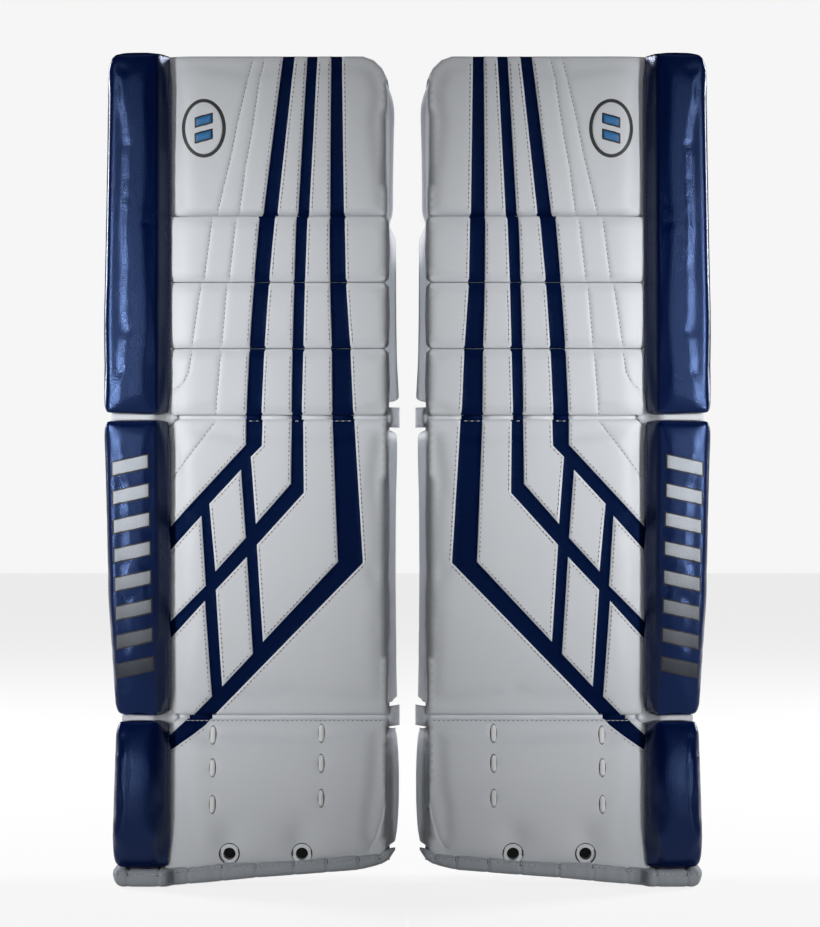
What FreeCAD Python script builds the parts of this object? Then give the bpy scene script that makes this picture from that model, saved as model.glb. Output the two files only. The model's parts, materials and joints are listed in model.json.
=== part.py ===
"""A pair of ice hockey goalie leg pads, standing upright on their toe edges.

Frame: +Z up, faces towards -Y, origin at the middle of the pair's footprint on the ground.
Every right-hand piece is drawn in one pad's own measures and then carried to its place:
X runs across the pad from its outer edge, Y runs back from the plane of the shin's face,
and Z runs up from the toe edge.  The left-hand pieces mirror the right-hand ones in X = 0.
"""
import FreeCAD, Part
import os
import re
import Sketcher

# Driving dimensions in millimetres: alias, value, meaning.
SIZES = [
    ("pad_width", 281, "one pad, outer edge to inner edge"),
    ("pad_gap", 8, "space between the two pads"),
    ("pad_height", 783, "ground to the top of the outer roll"),
    ("face_top", 779, "ground to the top of the face"),
    ("knee_seam", 629, "seam between the thigh panel and the knee rolls"),
    ("knee_break", 439.5, "middle of the flex line below the knee"),
    ("boot_break", 157, "middle of the flex line above the boot"),
    ("break_gap", 4, "open height of a flex line at the face"),
    ("groove_rise", 8, "how far each side of a flex groove falls away across the board"),
    ("board_depth", 58, "face to back of the padded board"),
    ("thigh_lean", 14, "how far the top of the thigh leans back"),
    ("boot_lean", 6, "how far the toe stands forward of the shin"),
    ("toe_level", 48, "height where the boot's face turns upright"),
    ("face_depth", 22, "padding in front of the core"),
    ("roll_recess", 12, "depth of the recess that the knee rolls sit in"),
    ("knee_roll_round", 2.5, "rounding of a knee roll's front edges"),
    ("knee_roll_proud", 3, "how far a knee roll stands in front of the face"),
    ("wall", 7, "side wall of a cover"),
    ("end_wall", 4, "wall of a cover above or below its core"),
    ("liner_depth", 8, "padded liner at the back"),
    ("edge_inset", 3, "how far the thigh and boot stay inside the knee's inner edge"),
    ("inner_strip", 13, "side strip along the inner edge"),
    ("thigh_corner", 40, "radius of the thigh's upper inner corner"),
    ("roll_width", 58, "outer roll, outer edge to face"),
    ("roll_front", 22, "how far the outer roll stands in front of the face"),
    ("roll_back", 70, "face to back of the outer roll"),
    ("roll_round", 14, "rounding of the outer roll's front edges"),
    ("roll_top_inset", 4, "outer roll's outer edge at the top"),
    ("roll_shin_inset", 5, "outer roll's outer edge half-way down the shin"),
    ("roll_ankle_inset", 12, "outer roll's outer edge above the boot"),
    ("roll_toe_inset", 9.5, "outer roll's outer edge at the toe"),
    ("roll_middle", 530, "height where the outer roll is widest"),
    ("roll_calf", 268, "height where the outer roll starts to narrow"),
    ("binding_height", 16, "bound toe edge"),
    ("binding_proud", 1.5, "how far the binding stands out from the toe flap"),
    ("flap_depth", 12, "thickness of the toe flap"),
    ("toe_flat", 70, "outer edge to where the toe edge starts to rise"),
    ("toe_bend", 245, "outer edge to where the toe edge turns up"),
    ("toe_rise", 14, "rise of the toe edge at its bend"),
    ("toe_corner_rise", 45, "rise of the toe edge at the inner side"),
    ("grommet_outer", 118, "outer edge to the first grommet"),
    ("grommet_inner", 186, "outer edge to the second grommet"),
    ("grommet_level", 30, "ground to the grommets' axes"),
    ("grommet_bore", 5.8, "radius of a grommet's hole"),
    ("grommet_barrel", 6.8, "radius of a grommet's barrel"),
    ("grommet_flange", 9.2, "radius of a grommet's flange"),
    ("flange_depth", 1.2, "thickness of a grommet's flange"),
    ("lace_width", 6, "boot lace"),
    ("lace_sunk", 4, "depth at which a lace runs behind the face"),
    ("lace_crossings", 3, "how often each lace shows"),
    ("lace_depth", 2, "thickness of the boot lace"),
    ("lace_outer", 102, "outer edge to the first lace"),
    ("lace_inner", 204, "outer edge to the second lace"),
    ("lace_stitch", 15, "length of lace that shows at each crossing"),
    ("lace_pitch", 32, "spacing of the lace crossings"),
    ("lace_top", 141, "height of the highest lace crossing"),
    ("bridge_height", 28, "toe bridge"),
    ("bridge_depth", 6, "thickness of the toe bridge"),
    ("wrap_thickness", 14, "calf wraps and knee wing"),
    ("wrap_back", 173, "face to the calf wraps' free edges"),
    ("wrap_low", 185, "bottom of the calf wraps"),
    ("wrap_high", 425, "top of the calf wraps"),
    ("wrap_corner", 26, "rounding of the wraps' free corners"),
    ("channel_outer", 44, "outer edge to the leg channel's outer side"),
    ("channel_inner", 255, "outer edge to the leg channel's inner side"),
    ("hinge_gap", 0.5, "clearance between a wrap's root and the pad"),
    ("wing_root", 80, "depth of the knee wing's hinge"),
    ("wing_back", 158, "face to the knee wing's free edge"),
    ("wing_low", 480, "bottom of the knee wing"),
    ("wing_high", 610, "top of the knee wing"),
    ("block_low", 475, "bottom of the knee block"),
    ("block_high", 600, "top of the knee block"),
    ("block_outer", 196, "outer edge to the knee block"),
    ("block_inner", 268, "outer edge to the knee block's inner side"),
    ("block_round", 10, "rounding of the knee block's back edges"),
    ("block_depth", 60, "knee block, liner to back"),
    ("strap_width", 38, "all straps"),
    ("strap_thickness", 2.5, "all straps"),
    ("strap_bend", 16, "outer radius of a strap's bends"),
    ("strap_ease", 1.5, "clearance between a strap and the wrap inside it"),
    ("calf_strap_back", 192, "face to the back of the calf straps"),
    ("calf_strap_low", 215, "bottom edge of the lower calf strap"),
    ("calf_strap_high", 355, "bottom edge of the upper calf strap"),
    ("knee_strap_back", 178, "face to the back of the knee strap"),
    ("knee_strap_low", 520, "bottom edge of the knee strap"),
    ("boot_strap_back", 140, "face to the back of the boot strap"),
    ("boot_strap_low", 62, "bottom edge of the boot strap"),
    ("boot_strap_inset", 8, "how far the boot strap sits inside the calf straps"),
    ("buckle_bar", 1.75, "radius of the buckle's bars"),
    ("buckle_length", 34, "buckle, bar to bar"),
    ("buckle_height", 50, "buckle, across the strap"),
    ("buckle_depth", 108, "face to the buckle's hinge bar"),
    ("sleeve_radius", 3, "outside of the prong's sleeve"),
    ("sleeve_length", 6, "length of the prong's sleeve"),
    ("pin_play", 0.05, "radial clearance of the prong on its bar"),
    ("pin_room", 1, "clearance between the sleeve and the strap around it"),
    ("prong_rest", 0.4, "clearance between the prong and the far bar"),
    ("prong_size", 2.6, "thickness of the prong"),
    ("chape_length", 24, "doubled strap end beside the buckle"),
    ("chape_margin", 3, "how much narrower the doubled end is, each side"),
    ("rivet_radius", 3, "rivet shank"),
    ("rivet_head", 5, "rivet head"),
    ("rivet_head_depth", 1.2, "thickness of a rivet's head"),
    ("rivet_spread", 9, "each rivet's distance from the middle of its strap"),
]
ALIASES = {alias for alias, _, _ in SIZES}
PAST = "20"                                 # how far a cutting shape runs past what it cuts
FAR = "100"                                 # longer than any piece is deep
NEAR = 1                                    # slack when an edge is picked by where its middle lies
ALONG = 0.85                                # an edge runs along an axis if its direction has this share

doc = FreeCAD.newDocument("goalie_leg_pads")
right_pieces = []


def fill_sheet():
    """Write the driving dimensions into the document's spreadsheet."""
    sheet = doc.addObject("Spreadsheet::Sheet", "Sizes")
    for row, (alias, value, meaning) in enumerate(SIZES, start=1):
        sheet.set(f"A{row}", meaning)
        sheet.set(f"B{row}", str(value))
        sheet.setAlias(f"B{row}", alias)
    doc.recompute()


def bound(formula):
    """Turn a formula in bare aliases into one that reads the spreadsheet."""
    def looked_up(word):
        return f"Sizes.{word.group()}" if word.group() in ALIASES else word.group()
    return re.sub(r"[a-z_]+", looked_up, str(formula))


def bind(thing, **formulas):
    """Bind properties of an object, given as name=formula, with __ for a dot."""
    for name, formula in formulas.items():
        thing.setExpression(name.replace("__", "."), bound(formula))


# Formulas that several pieces share.
KNEE_LOW = "(knee_break - break_gap / 2)"
KNEE_HIGH = "(knee_break + break_gap / 2)"
BOOT_LOW = "(boot_break - break_gap / 2)"
BOOT_HIGH = "(boot_break + break_gap / 2)"
ROLL_GROOVE = "(groove_rise * roll_back / board_depth)"
LINER_FRONT = "(board_depth - liner_depth)"
FACE_EDGE = "(pad_width - inner_strip)"
NARROW_EDGE = "(pad_width - edge_inset)"
CALF_STRAP_OUTER = "(channel_outer - wrap_thickness - strap_ease - strap_thickness)"
CALF_STRAP_INNER = "(channel_inner + wrap_thickness + strap_ease + strap_thickness)"
BRIDGE_TOP = "(toe_level - 2)"
CHAPE_END = "(buckle_depth - sleeve_radius - pin_room)"
RIVET_DEPTH = f"({CHAPE_END} - chape_length / 2)"


def thigh_shift(level):
    """How far back the thigh has leant at a height."""
    return f"(thigh_lean * (({level}) - knee_break) / (face_top - knee_break))"


def boot_shift(level):
    """How far forward the boot has come at a height, as a negative depth."""
    return f"(-boot_lean * (boot_break - ({level})) / (boot_break - toe_level))"


def outline_prism(name, plane, points, start, length):
    """Pad a closed outline, whose corners are pairs of formulas, between start and start + length.

    On the side plane a corner is (depth, height) and the prism runs across the pad; on the front
    plane it is (across, height) and the prism runs back; on the ground plane it is
    (across, depth) and the prism runs up.
    """
    role = {"side": "YZ_Plane", "front": "XZ_Plane", "ground": "XY_Plane"}[plane]
    body = doc.addObject("PartDesign::Body", name)
    sketch = body.newObject("Sketcher::SketchObject", name + "_outline")
    origin_plane = next(item for item in body.Origin.OriginFeatures if item.Role == role)
    sketch.AttachmentSupport = [(origin_plane, "")]
    sketch.MapMode = "FlatFace"
    # The front plane's normal points forward, so its prisms start at the back.
    bind(sketch, AttachmentOffset__Base__z=f"-({start}) - ({length})" if plane == "front" else start)
    numbers = [[sheet_value(part) for part in point] for point in points]
    for first, second in zip(numbers, numbers[1:] + numbers[:1]):
        sketch.addGeometry(Part.LineSegment(FreeCAD.Vector(*first, 0), FreeCAD.Vector(*second, 0)))
    for index, point in enumerate(points):
        following = (index + 1) % len(points)
        sketch.addConstraint(Sketcher.Constraint("Coincident", index, 2, following, 1))
        for kind, formula, number in zip(("DistanceX", "DistanceY"), point, numbers[index]):
            constraint = sketch.addConstraint(Sketcher.Constraint(kind, -1, 1, index, 1, number))
            sketch.setExpression(f"Constraints[{constraint}]", bound(formula))
    pad = body.newObject("PartDesign::Pad", name + "_pad")
    pad.Profile = sketch
    bind(pad, Length=length)
    doc.recompute()
    return body


def sheet_value(formula):
    """The number that a formula gives with the sheet's present values."""
    holder = doc.getObject("Reader") or doc.addObject("App::FeaturePython", "Reader")
    if "Number" not in holder.PropertiesList:
        holder.addProperty("App::PropertyFloat", "Number")
    bind(holder, Number=formula)
    holder.recompute()
    return holder.Number


def block(name, across, depth, height):
    """A plain block between two formulas along each axis."""
    box = doc.addObject("Part::Box", name)
    spans = {"x": across, "y": depth, "z": height}
    for axis, size in zip("xyz", ("Length", "Width", "Height")):
        low, high = spans[axis]
        box.setExpression(size, bound(f"({high}) - ({low})"))
        box.setExpression(f"Placement.Base.{axis}", bound(low))
    return box


def cylinder(name, radius, length, direction, across, depth, height):
    """A cylinder along +X, +Y or +Z, from a base point given by three formulas."""
    rod = doc.addObject("Part::Cylinder", name)
    bind(rod, Radius=radius, Height=length)
    turn = FreeCAD.Rotation(FreeCAD.Vector(0, 0, 1), FreeCAD.Vector(*direction))
    rod.Placement = FreeCAD.Placement(FreeCAD.Vector(), turn)
    bind(rod, Placement__Base__x=across, Placement__Base__y=depth, Placement__Base__z=height)
    return rod


def joined(name, pieces):
    """Fuse pieces that touch, or keep apart ones together as one group."""
    group = doc.addObject("Part::MultiFuse", name)
    group.Shapes = pieces
    return group


def trimmed(name, base, tools):
    """Cut one or more tools out of a base."""
    for number, tool in enumerate(tools):
        result = doc.addObject("Part::Cut", f"{name}_{number}" if number < len(tools) - 1 else name)
        result.Base = base
        result.Tool = tool
        base = result
    return base


def overlap(name, base, tool):
    """Keep what two shapes share."""
    result = doc.addObject("Part::Common", name)
    result.Base = base
    result.Tool = tool
    return result


def rounded(name, base, radius, wanted):
    """Fillet the edges of a shape that a test picks by their middle and direction."""
    doc.recompute()
    fillet = doc.addObject("Part::Fillet", name)
    fillet.Base = base
    size = sheet_value(radius)
    picked = []
    for number, edge in enumerate(base.Shape.Edges, start=1):
        middle = edge.CenterOfMass
        along = edge.tangentAt(edge.FirstParameter)
        if wanted(middle, along):
            picked.append((number, size, size))
    fillet.Edges = picked
    doc.recompute()
    return fillet


def keep(label, piece):
    """Name a finished right-hand piece."""
    piece.Label = f"right_{label}"
    right_pieces.append((label, piece))
    return piece


# ---- board sections: covers, cores and liners --------------------------------------------------

def thigh_profile(front, back, low, high):
    """Side profile of a thigh layer; its lower edge follows the knee's flex groove."""
    return [
        (f"{front} + {thigh_shift(low)}", f"{low} + groove_rise * ({front}) / board_depth"),
        (f"{back} + {thigh_shift(low)}", f"{low} + groove_rise * ({back}) / board_depth"),
        (f"{back} + {thigh_shift(high)}", high),
        (f"{front} + {thigh_shift(high)}", high),
    ]


def make_thigh():
    core_low = f"({KNEE_HIGH} + end_wall)"
    core_high = "(face_top - wall)"
    core_span = ("roll_width + wall", f"{NARROW_EDGE} - wall - roll_width - wall")
    core = outline_prism("thigh_core", "side",
                         thigh_profile("face_depth", LINER_FRONT, core_low, core_high), *core_span)
    liner = outline_prism("thigh_liner", "side",
                          thigh_profile(LINER_FRONT, "board_depth", core_low, core_high), *core_span)
    blank = outline_prism("thigh_blank", "side", thigh_profile("0", "board_depth", KNEE_HIGH, "face_top"),
                          "roll_width", f"{NARROW_EDGE} - roll_width")
    inner_edge = sheet_value(NARROW_EDGE)
    top = sheet_value("face_top")
    soft_blank = rounded("thigh_rounded", blank, "thigh_corner",
                         lambda middle, along: abs(along.y) > ALONG and middle.z > top - NEAR
                         and middle.x > inner_edge - NEAR)
    below = f"(knee_break - {PAST})"
    recess = outline_prism("knee_recess", "side", [
        (f"-{PAST}", below),
        (f"roll_recess + {thigh_shift(below)}", below),
        (f"roll_recess + {thigh_shift('knee_seam')}", "knee_seam"),
        (f"-{PAST}", "knee_seam"),
    ], f"roll_width - {PAST}", f"{FACE_EDGE} - roll_width + {PAST}")
    core_hole = outline_prism("thigh_core_hole", "side",
                              thigh_profile("face_depth", "board_depth", core_low, core_high), *core_span)
    keep("thigh_cover", trimmed("thigh_cover", soft_blank, [recess, core_hole]))
    keep("thigh_core", core)
    keep("thigh_liner", liner)


def make_knee_rolls():
    """Three padded rolls across the knee, equal in height."""
    places = ("lower", "middle", "upper")
    pitch = f"(knee_seam - {KNEE_HIGH}) / {len(places)}"
    for index, place in enumerate(places):
        low = f"({KNEE_HIGH} + {pitch} * {index})"
        high = f"({KNEE_HIGH} + {pitch} * {index + 1})"
        # The lowest roll's underside follows the flex groove.
        rise = "groove_rise * roll_recess / board_depth" if index == 0 else "0"
        roll = outline_prism(f"knee_roll_{place}", "side", [
            (f"-knee_roll_proud + {thigh_shift(low)}", low),
            (f"{thigh_shift(low)}", low),
            (f"roll_recess + {thigh_shift(low)}", f"{low} + {rise}"),
            (f"roll_recess + {thigh_shift(high)}", high),
            (f"-knee_roll_proud + {thigh_shift(high)}", high),
        ], "roll_width", f"{FACE_EDGE} - roll_width")
        front = sheet_value(f"{thigh_shift(low)} - knee_roll_proud / 2")
        keep(f"knee_roll_{place}", rounded(f"knee_roll_{place}_soft", roll, "knee_roll_round",
                                           lambda middle, along: abs(along.x) > ALONG and middle.y < front))


def shin_profile(front, back, low, high):
    """Side profile of a shin layer; both ends follow the flex grooves."""
    return [
        (front, f"{low} + groove_rise * ({front}) / board_depth"),
        (back, f"{low} + groove_rise * ({back}) / board_depth"),
        (back, f"{high} - groove_rise * ({back}) / board_depth"),
        (front, f"{high} - groove_rise * ({front}) / board_depth"),
    ]


def make_shin():
    core_low = f"({BOOT_HIGH} + end_wall)"
    core_high = f"({KNEE_LOW} - end_wall)"
    core_span = ("roll_width + wall", f"{NARROW_EDGE} - wall - roll_width - wall")
    blank = outline_prism("shin_blank", "side", shin_profile("0", "board_depth", BOOT_HIGH, KNEE_LOW),
                          "roll_width", "pad_width - roll_width")
    core_hole = outline_prism("shin_core_hole", "side",
                              shin_profile("face_depth", "board_depth", core_low, core_high), *core_span)
    keep("shin_cover", trimmed("shin_cover", blank, [core_hole]))
    core_outline = shin_profile("face_depth", LINER_FRONT, core_low, core_high)
    keep("shin_core", outline_prism("shin_core", "side", core_outline, *core_span))
    liner_outline = shin_profile(LINER_FRONT, "board_depth", core_low, core_high)
    keep("shin_liner", outline_prism("shin_liner", "side", liner_outline, *core_span))


def boot_core():
    low = "(toe_level + end_wall)"
    high = f"({BOOT_LOW} - end_wall)"
    return outline_prism("boot_core", "side", [
        (f"face_depth + {boot_shift(low)}", low),
        (f"{LINER_FRONT} + {boot_shift(low)}", low),
        (f"{LINER_FRONT}", f"{high} - groove_rise * {LINER_FRONT} / board_depth"),
        ("face_depth", f"{high} - groove_rise * face_depth / board_depth"),
    ], "roll_width + wall", f"{NARROW_EDGE} - wall - roll_width - wall")


def grommet_places():
    return [("outer", "grommet_outer"), ("inner", "grommet_inner")]


def make_boot(laces):
    core = boot_core()
    side = outline_prism("boot_side", "side", [
        ("-boot_lean", "0"),
        ("board_depth - boot_lean", "0"),
        ("board_depth - boot_lean", "toe_level"),
        ("board_depth", f"{BOOT_LOW} - groove_rise"),
        ("0", BOOT_LOW),
        ("-boot_lean", "toe_level"),
    ], "roll_width", f"{NARROW_EDGE} - roll_width")
    front = outline_prism("boot_front", "front", [
        ("roll_width", "binding_height"),
        ("toe_flat", "binding_height"),
        ("toe_bend", "toe_rise + binding_height"),
        (FACE_EDGE, "toe_rise + binding_height"),
        (NARROW_EDGE, "toe_corner_rise"),
        (NARROW_EDGE, "boot_break"),
        ("roll_width", "boot_break"),
    ], f"-{FAR}", f"2 * {FAR}")
    toe_pocket = block("toe_pocket", ("roll_width + wall", FACE_EDGE),
                       ("flap_depth - boot_lean", "board_depth"), (f"-{PAST}", BRIDGE_TOP))
    holes = [cylinder(f"flap_hole_{place}", "grommet_barrel", FAR, (0, 1, 0), across, f"-{FAR} / 2",
                      "grommet_level") for place, across in grommet_places()]
    blank = overlap("boot_blank", side, front)
    keep("boot_cover", trimmed("boot_cover", blank, [core, toe_pocket, laces] + holes))
    keep("boot_core", core)


# ---- outer roll --------------------------------------------------------------------------------

def outer_roll(place, side_points, front_points):
    """A length of the outer roll: what its side profile and its front outline share."""
    side = outline_prism(f"roll_{place}_side", "side", side_points, f"-{PAST}", f"roll_width + {PAST}")
    front = outline_prism(f"roll_{place}_front", "front", front_points, f"-{FAR}", f"3 * {FAR}")
    solid = overlap(f"roll_{place}_blank", side, front)
    furthest_front = sheet_value("thigh_lean - roll_front") + NEAR
    soft = rounded(f"roll_{place}_soft", solid, "roll_round",
                   lambda middle, along: abs(along.z) > ALONG and middle.y < furthest_front)
    keep(f"outer_roll_{place}", soft)


def make_outer_rolls():
    outer_roll("thigh", [
        ("-roll_front", KNEE_HIGH),
        ("0", KNEE_HIGH),
        ("roll_back", f"{KNEE_HIGH} + {ROLL_GROOVE}"),
        ("roll_back + thigh_lean", "pad_height"),
        ("thigh_lean - roll_front", "pad_height"),
    ], [
        ("0", "knee_break"),
        ("roll_width", "knee_break"),
        ("roll_width", "pad_height"),
        ("roll_top_inset", "pad_height"),
        ("0", "roll_middle"),
    ])
    outer_roll("shin", [
        ("-roll_front", BOOT_HIGH),
        ("0", BOOT_HIGH),
        ("roll_back", f"{BOOT_HIGH} + {ROLL_GROOVE}"),
        ("roll_back", f"{KNEE_LOW} - {ROLL_GROOVE}"),
        ("0", KNEE_LOW),
        ("-roll_front", KNEE_LOW),
    ], [
        ("roll_ankle_inset", "boot_break"),
        ("roll_width", "boot_break"),
        ("roll_width", "knee_break"),
        ("0", "knee_break"),
        ("roll_shin_inset", "roll_calf"),
    ])
    outer_roll("boot", [
        ("-roll_front", BOOT_LOW),
        ("-roll_front - boot_lean", "toe_level"),
        ("-roll_front", "binding_height"),
        ("roll_back - boot_lean", "binding_height"),
        ("roll_back - boot_lean", "toe_level"),
        ("roll_back", f"{BOOT_LOW} - {ROLL_GROOVE}"),
        ("0", BOOT_LOW),
    ], [
        ("roll_toe_inset", "0"),
        ("roll_width", "0"),
        ("roll_width", "boot_break"),
        ("roll_ankle_inset", "boot_break"),
    ])


# ---- toe: binding, grommets, laces and bridge --------------------------------------------------

def make_toe_binding():
    """The bound toe edge: a strip along the flap and a wide foot under the outer roll."""
    strip = outline_prism("binding_strip", "front", [
        ("roll_width", "0"),
        ("toe_flat", "0"),
        ("toe_bend", "toe_rise"),
        (f"{FACE_EDGE} - 6", "toe_rise + 6"),
        (f"{FACE_EDGE} - 6", "toe_rise + binding_height"),
        ("toe_bend", "toe_rise + binding_height"),
        ("toe_flat", "binding_height"),
        ("roll_width", "binding_height"),
    ], "-boot_lean - binding_proud", "flap_depth + 2 * binding_proud")
    foot = block("binding_foot", ("roll_toe_inset", "roll_width"),
                 ("-roll_front", "roll_back - boot_lean"), ("0", "binding_height"))
    whole = joined("toe_binding_whole", [strip, foot])
    notches = [cylinder(f"binding_notch_{place}", "grommet_flange", FAR, (0, 1, 0), across, f"-{FAR} / 2",
                        "grommet_level") for place, across in grommet_places()]
    keep("toe_binding", trimmed("toe_binding", whole, notches))


def make_toe_grommets():
    """Two flanged tubes through the toe flap, for the toe ties."""
    grommets = []
    length = "(flap_depth + 2 * flange_depth)"
    front = "-boot_lean - flange_depth"
    for place, across in grommet_places():
        at = (across, front, "grommet_level")
        behind = (across, "flap_depth - boot_lean", "grommet_level")
        barrel = cylinder(f"barrel_{place}", "grommet_barrel", length, (0, 1, 0), *at)
        washer_front = cylinder(f"washer_front_{place}", "grommet_flange", "flange_depth", (0, 1, 0), *at)
        washer_back = cylinder(f"washer_back_{place}", "grommet_flange", "flange_depth", (0, 1, 0), *behind)
        solid = joined(f"grommet_solid_{place}", [barrel, washer_front, washer_back])
        bore = cylinder(f"bore_{place}", "grommet_bore", FAR, (0, 1, 0),
                        across, f"-{FAR} / 2", "grommet_level")
        grommets.append(trimmed(f"grommet_{place}", solid, [bore]))
    keep("toe_grommets", joined("toe_grommets", grommets))


def make_boot_laces():
    """Two flat laces that dip in and out of the boot's face."""
    laces = []
    half = "lace_width / 2"
    for place, across in (("outer", "lace_outer"), ("inner", "lace_inner")):
        lowest = "(lace_top - (lace_crossings - 1) * lace_pitch)"
        sides = (f"{across} - {half}", f"{across} + {half}")
        pieces = [outline_prism(f"lace_run_{place}", "side", [
            (f"lace_sunk + {boot_shift(lowest)}", lowest),
            (f"lace_sunk + lace_depth + {boot_shift(lowest)}", lowest),
            (f"lace_sunk + lace_depth + {boot_shift('lace_top')}", "lace_top"),
            (f"lace_sunk + {boot_shift('lace_top')}", "lace_top"),
        ], sides[0], "lace_width")]
        for step in range(int(sheet_value("lace_crossings"))):
            level = f"(lace_top - {step} * lace_pitch)"
            pieces.append(block(f"lace_loop_{place}_{step}", sides,
                                (f"{boot_shift(level)} - lace_depth / 2",
                                 f"{boot_shift(level)} + lace_sunk + lace_depth / 2"),
                                (f"{level} - lace_stitch / 2", f"{level} + lace_stitch / 2")))
        laces.append(joined(f"lace_{place}", pieces))
    return keep("boot_laces", joined("boot_laces", laces))


def make_toe_bridge():
    """A padded bar across the back of the toe, in front of the skate."""
    keep("toe_bridge", block("toe_bridge", ("roll_width + wall", FACE_EDGE),
                             ("board_depth - boot_lean - bridge_depth", "board_depth - boot_lean"),
                             (f"{BRIDGE_TOP} - bridge_height", BRIDGE_TOP)))


# ---- wraps, knee wing and knee block -----------------------------------------------------------

def flap_panel(label, across, root, back, low, high):
    """An upright padded panel that reaches back, with its two free corners rounded."""
    panel = outline_prism(f"{label}_panel", "side", [
        (root, low),
        (back, low),
        (back, high),
        (root, high),
    ], across, "wrap_thickness")
    free_end = sheet_value(back) - NEAR
    keep(label, rounded(label, panel, "wrap_corner",
                        lambda middle, along: abs(along.x) > ALONG and middle.y > free_end))


def make_wraps():
    flap_panel("calf_wrap_outer", "channel_outer - wrap_thickness", "roll_back + hinge_gap", "wrap_back",
               "wrap_low", "wrap_high")
    flap_panel("calf_wrap_inner", "channel_inner", "board_depth + hinge_gap", "wrap_back",
               "wrap_low", "wrap_high")
    flap_panel("knee_wing", "channel_outer - wrap_thickness", "wing_root", "wing_back",
               "wing_low", "wing_high")


def make_knee_block():
    """The stacked block that the inner side of the knee lands on."""
    solid = outline_prism("knee_block_blank", "side", [
        (f"board_depth + {thigh_shift('block_low')}", "block_low"),
        (f"board_depth + block_depth + {thigh_shift('block_low')}", "block_low"),
        (f"board_depth + block_depth + {thigh_shift('block_high')}", "block_high"),
        (f"board_depth + {thigh_shift('block_high')}", "block_high"),
    ], "block_outer", "block_inner - block_outer")
    back = sheet_value("board_depth + block_depth") - NEAR
    return keep("knee_block", rounded("knee_block_soft", solid, "block_round",
                                      lambda middle, along: abs(along.z) > ALONG and middle.y > back))


# ---- straps and their hardware -----------------------------------------------------------------

def strap_loop(name, outer, inner, back, low):
    """A flat strap from one side of the pad round to the other, open towards the pad."""
    def bent_block(part, inset, radius):
        solid = block(f"{name}_{part}", (f"{outer} + {inset}", f"{inner} - {inset}"),
                      ("0", f"{back} - {inset}"), (low, f"{low} + strap_width"))
        rear = sheet_value(f"{back} - {inset}") - NEAR
        return rounded(f"{name}_{part}_bent", solid, radius,
                       lambda middle, along: abs(along.z) > ALONG and middle.y > rear)
    return trimmed(name, bent_block("outside", "0", "strap_bend"),
                   [bent_block("inside", "strap_thickness", "strap_bend - strap_thickness")])


def board_blank(name, high):
    """Everything in front of a section's back, to trim straps to the surface that they are sewn to."""
    return joined(name, [
        block(f"{name}_board", (f"-{PAST}", f"pad_width + {PAST}"), (f"-{PAST}", "board_depth"), ("0", high)),
        block(f"{name}_roll", (f"-{PAST}", "roll_width"), (f"-{PAST}", "roll_back"), ("0", high)),
    ])


def make_calf_straps():
    loops = []
    cutter = board_blank("shin_solid", "pad_height")
    for place, low in (("lower", "calf_strap_low"), ("upper", "calf_strap_high")):
        loop = strap_loop(f"calf_loop_{place}", CALF_STRAP_OUTER, CALF_STRAP_INNER, "calf_strap_back", low)
        middle = f"({low} + strap_width / 2)"
        chape = block(f"chape_{place}", (f"{CALF_STRAP_OUTER} - strap_thickness", CALF_STRAP_OUTER),
                      (f"{CHAPE_END} - chape_length", CHAPE_END),
                      (f"{low} + chape_margin", f"{low} + strap_width - chape_margin"))
        slot = block(f"prong_slot_{place}",
                     (f"{CALF_STRAP_OUTER} - {PAST}", f"{CALF_STRAP_OUTER} + {PAST}"),
                     (CHAPE_END, "buckle_depth + sleeve_radius + pin_room"),
                     (f"{middle} - sleeve_length / 2 - pin_room", f"{middle} + sleeve_length / 2 + pin_room"))
        holes = [cylinder(f"rivet_hole_{place}_{number}", "rivet_radius", PAST, (1, 0, 0),
                          f"{CALF_STRAP_OUTER} - {PAST} / 2", RIVET_DEPTH,
                          f"{middle} + {sign} * rivet_spread") for number, sign in enumerate(("-1", "1"))]
        doubled = joined(f"calf_strap_doubled_{place}", [loop, chape])
        loops.append(trimmed(f"calf_strap_{place}", doubled, [cutter, slot] + holes))
    keep("calf_straps", joined("calf_straps", loops))


def make_strap_rivets():
    """Rivets that clamp each doubled strap end."""
    rivets = []
    shank_start = f"({CALF_STRAP_OUTER} - strap_thickness)"
    shank_end = f"({CALF_STRAP_OUTER} + strap_thickness)"
    for place, low in (("lower", "calf_strap_low"), ("upper", "calf_strap_high")):
        for sign in ("-1", "1"):
            tag = f"{place}_{'top' if sign == '1' else 'bottom'}"
            at = (RIVET_DEPTH, f"{low} + strap_width / 2 + {sign} * rivet_spread")
            shank = cylinder(f"shank_{tag}", "rivet_radius", f"{shank_end} - {shank_start}", (1, 0, 0),
                             shank_start, *at)
            head = cylinder(f"head_{tag}", "rivet_head", "rivet_head_depth", (1, 0, 0),
                            f"{shank_start} - rivet_head_depth", *at)
            rivets.append(joined(f"rivet_{tag}", [shank, head]))
    keep("strap_rivets", joined("strap_rivets", rivets))


def bar_centre():
    """How far across the pad the buckles' bars lie: against the strap's outer face."""
    return f"({CALF_STRAP_OUTER} - buckle_bar)"


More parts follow.
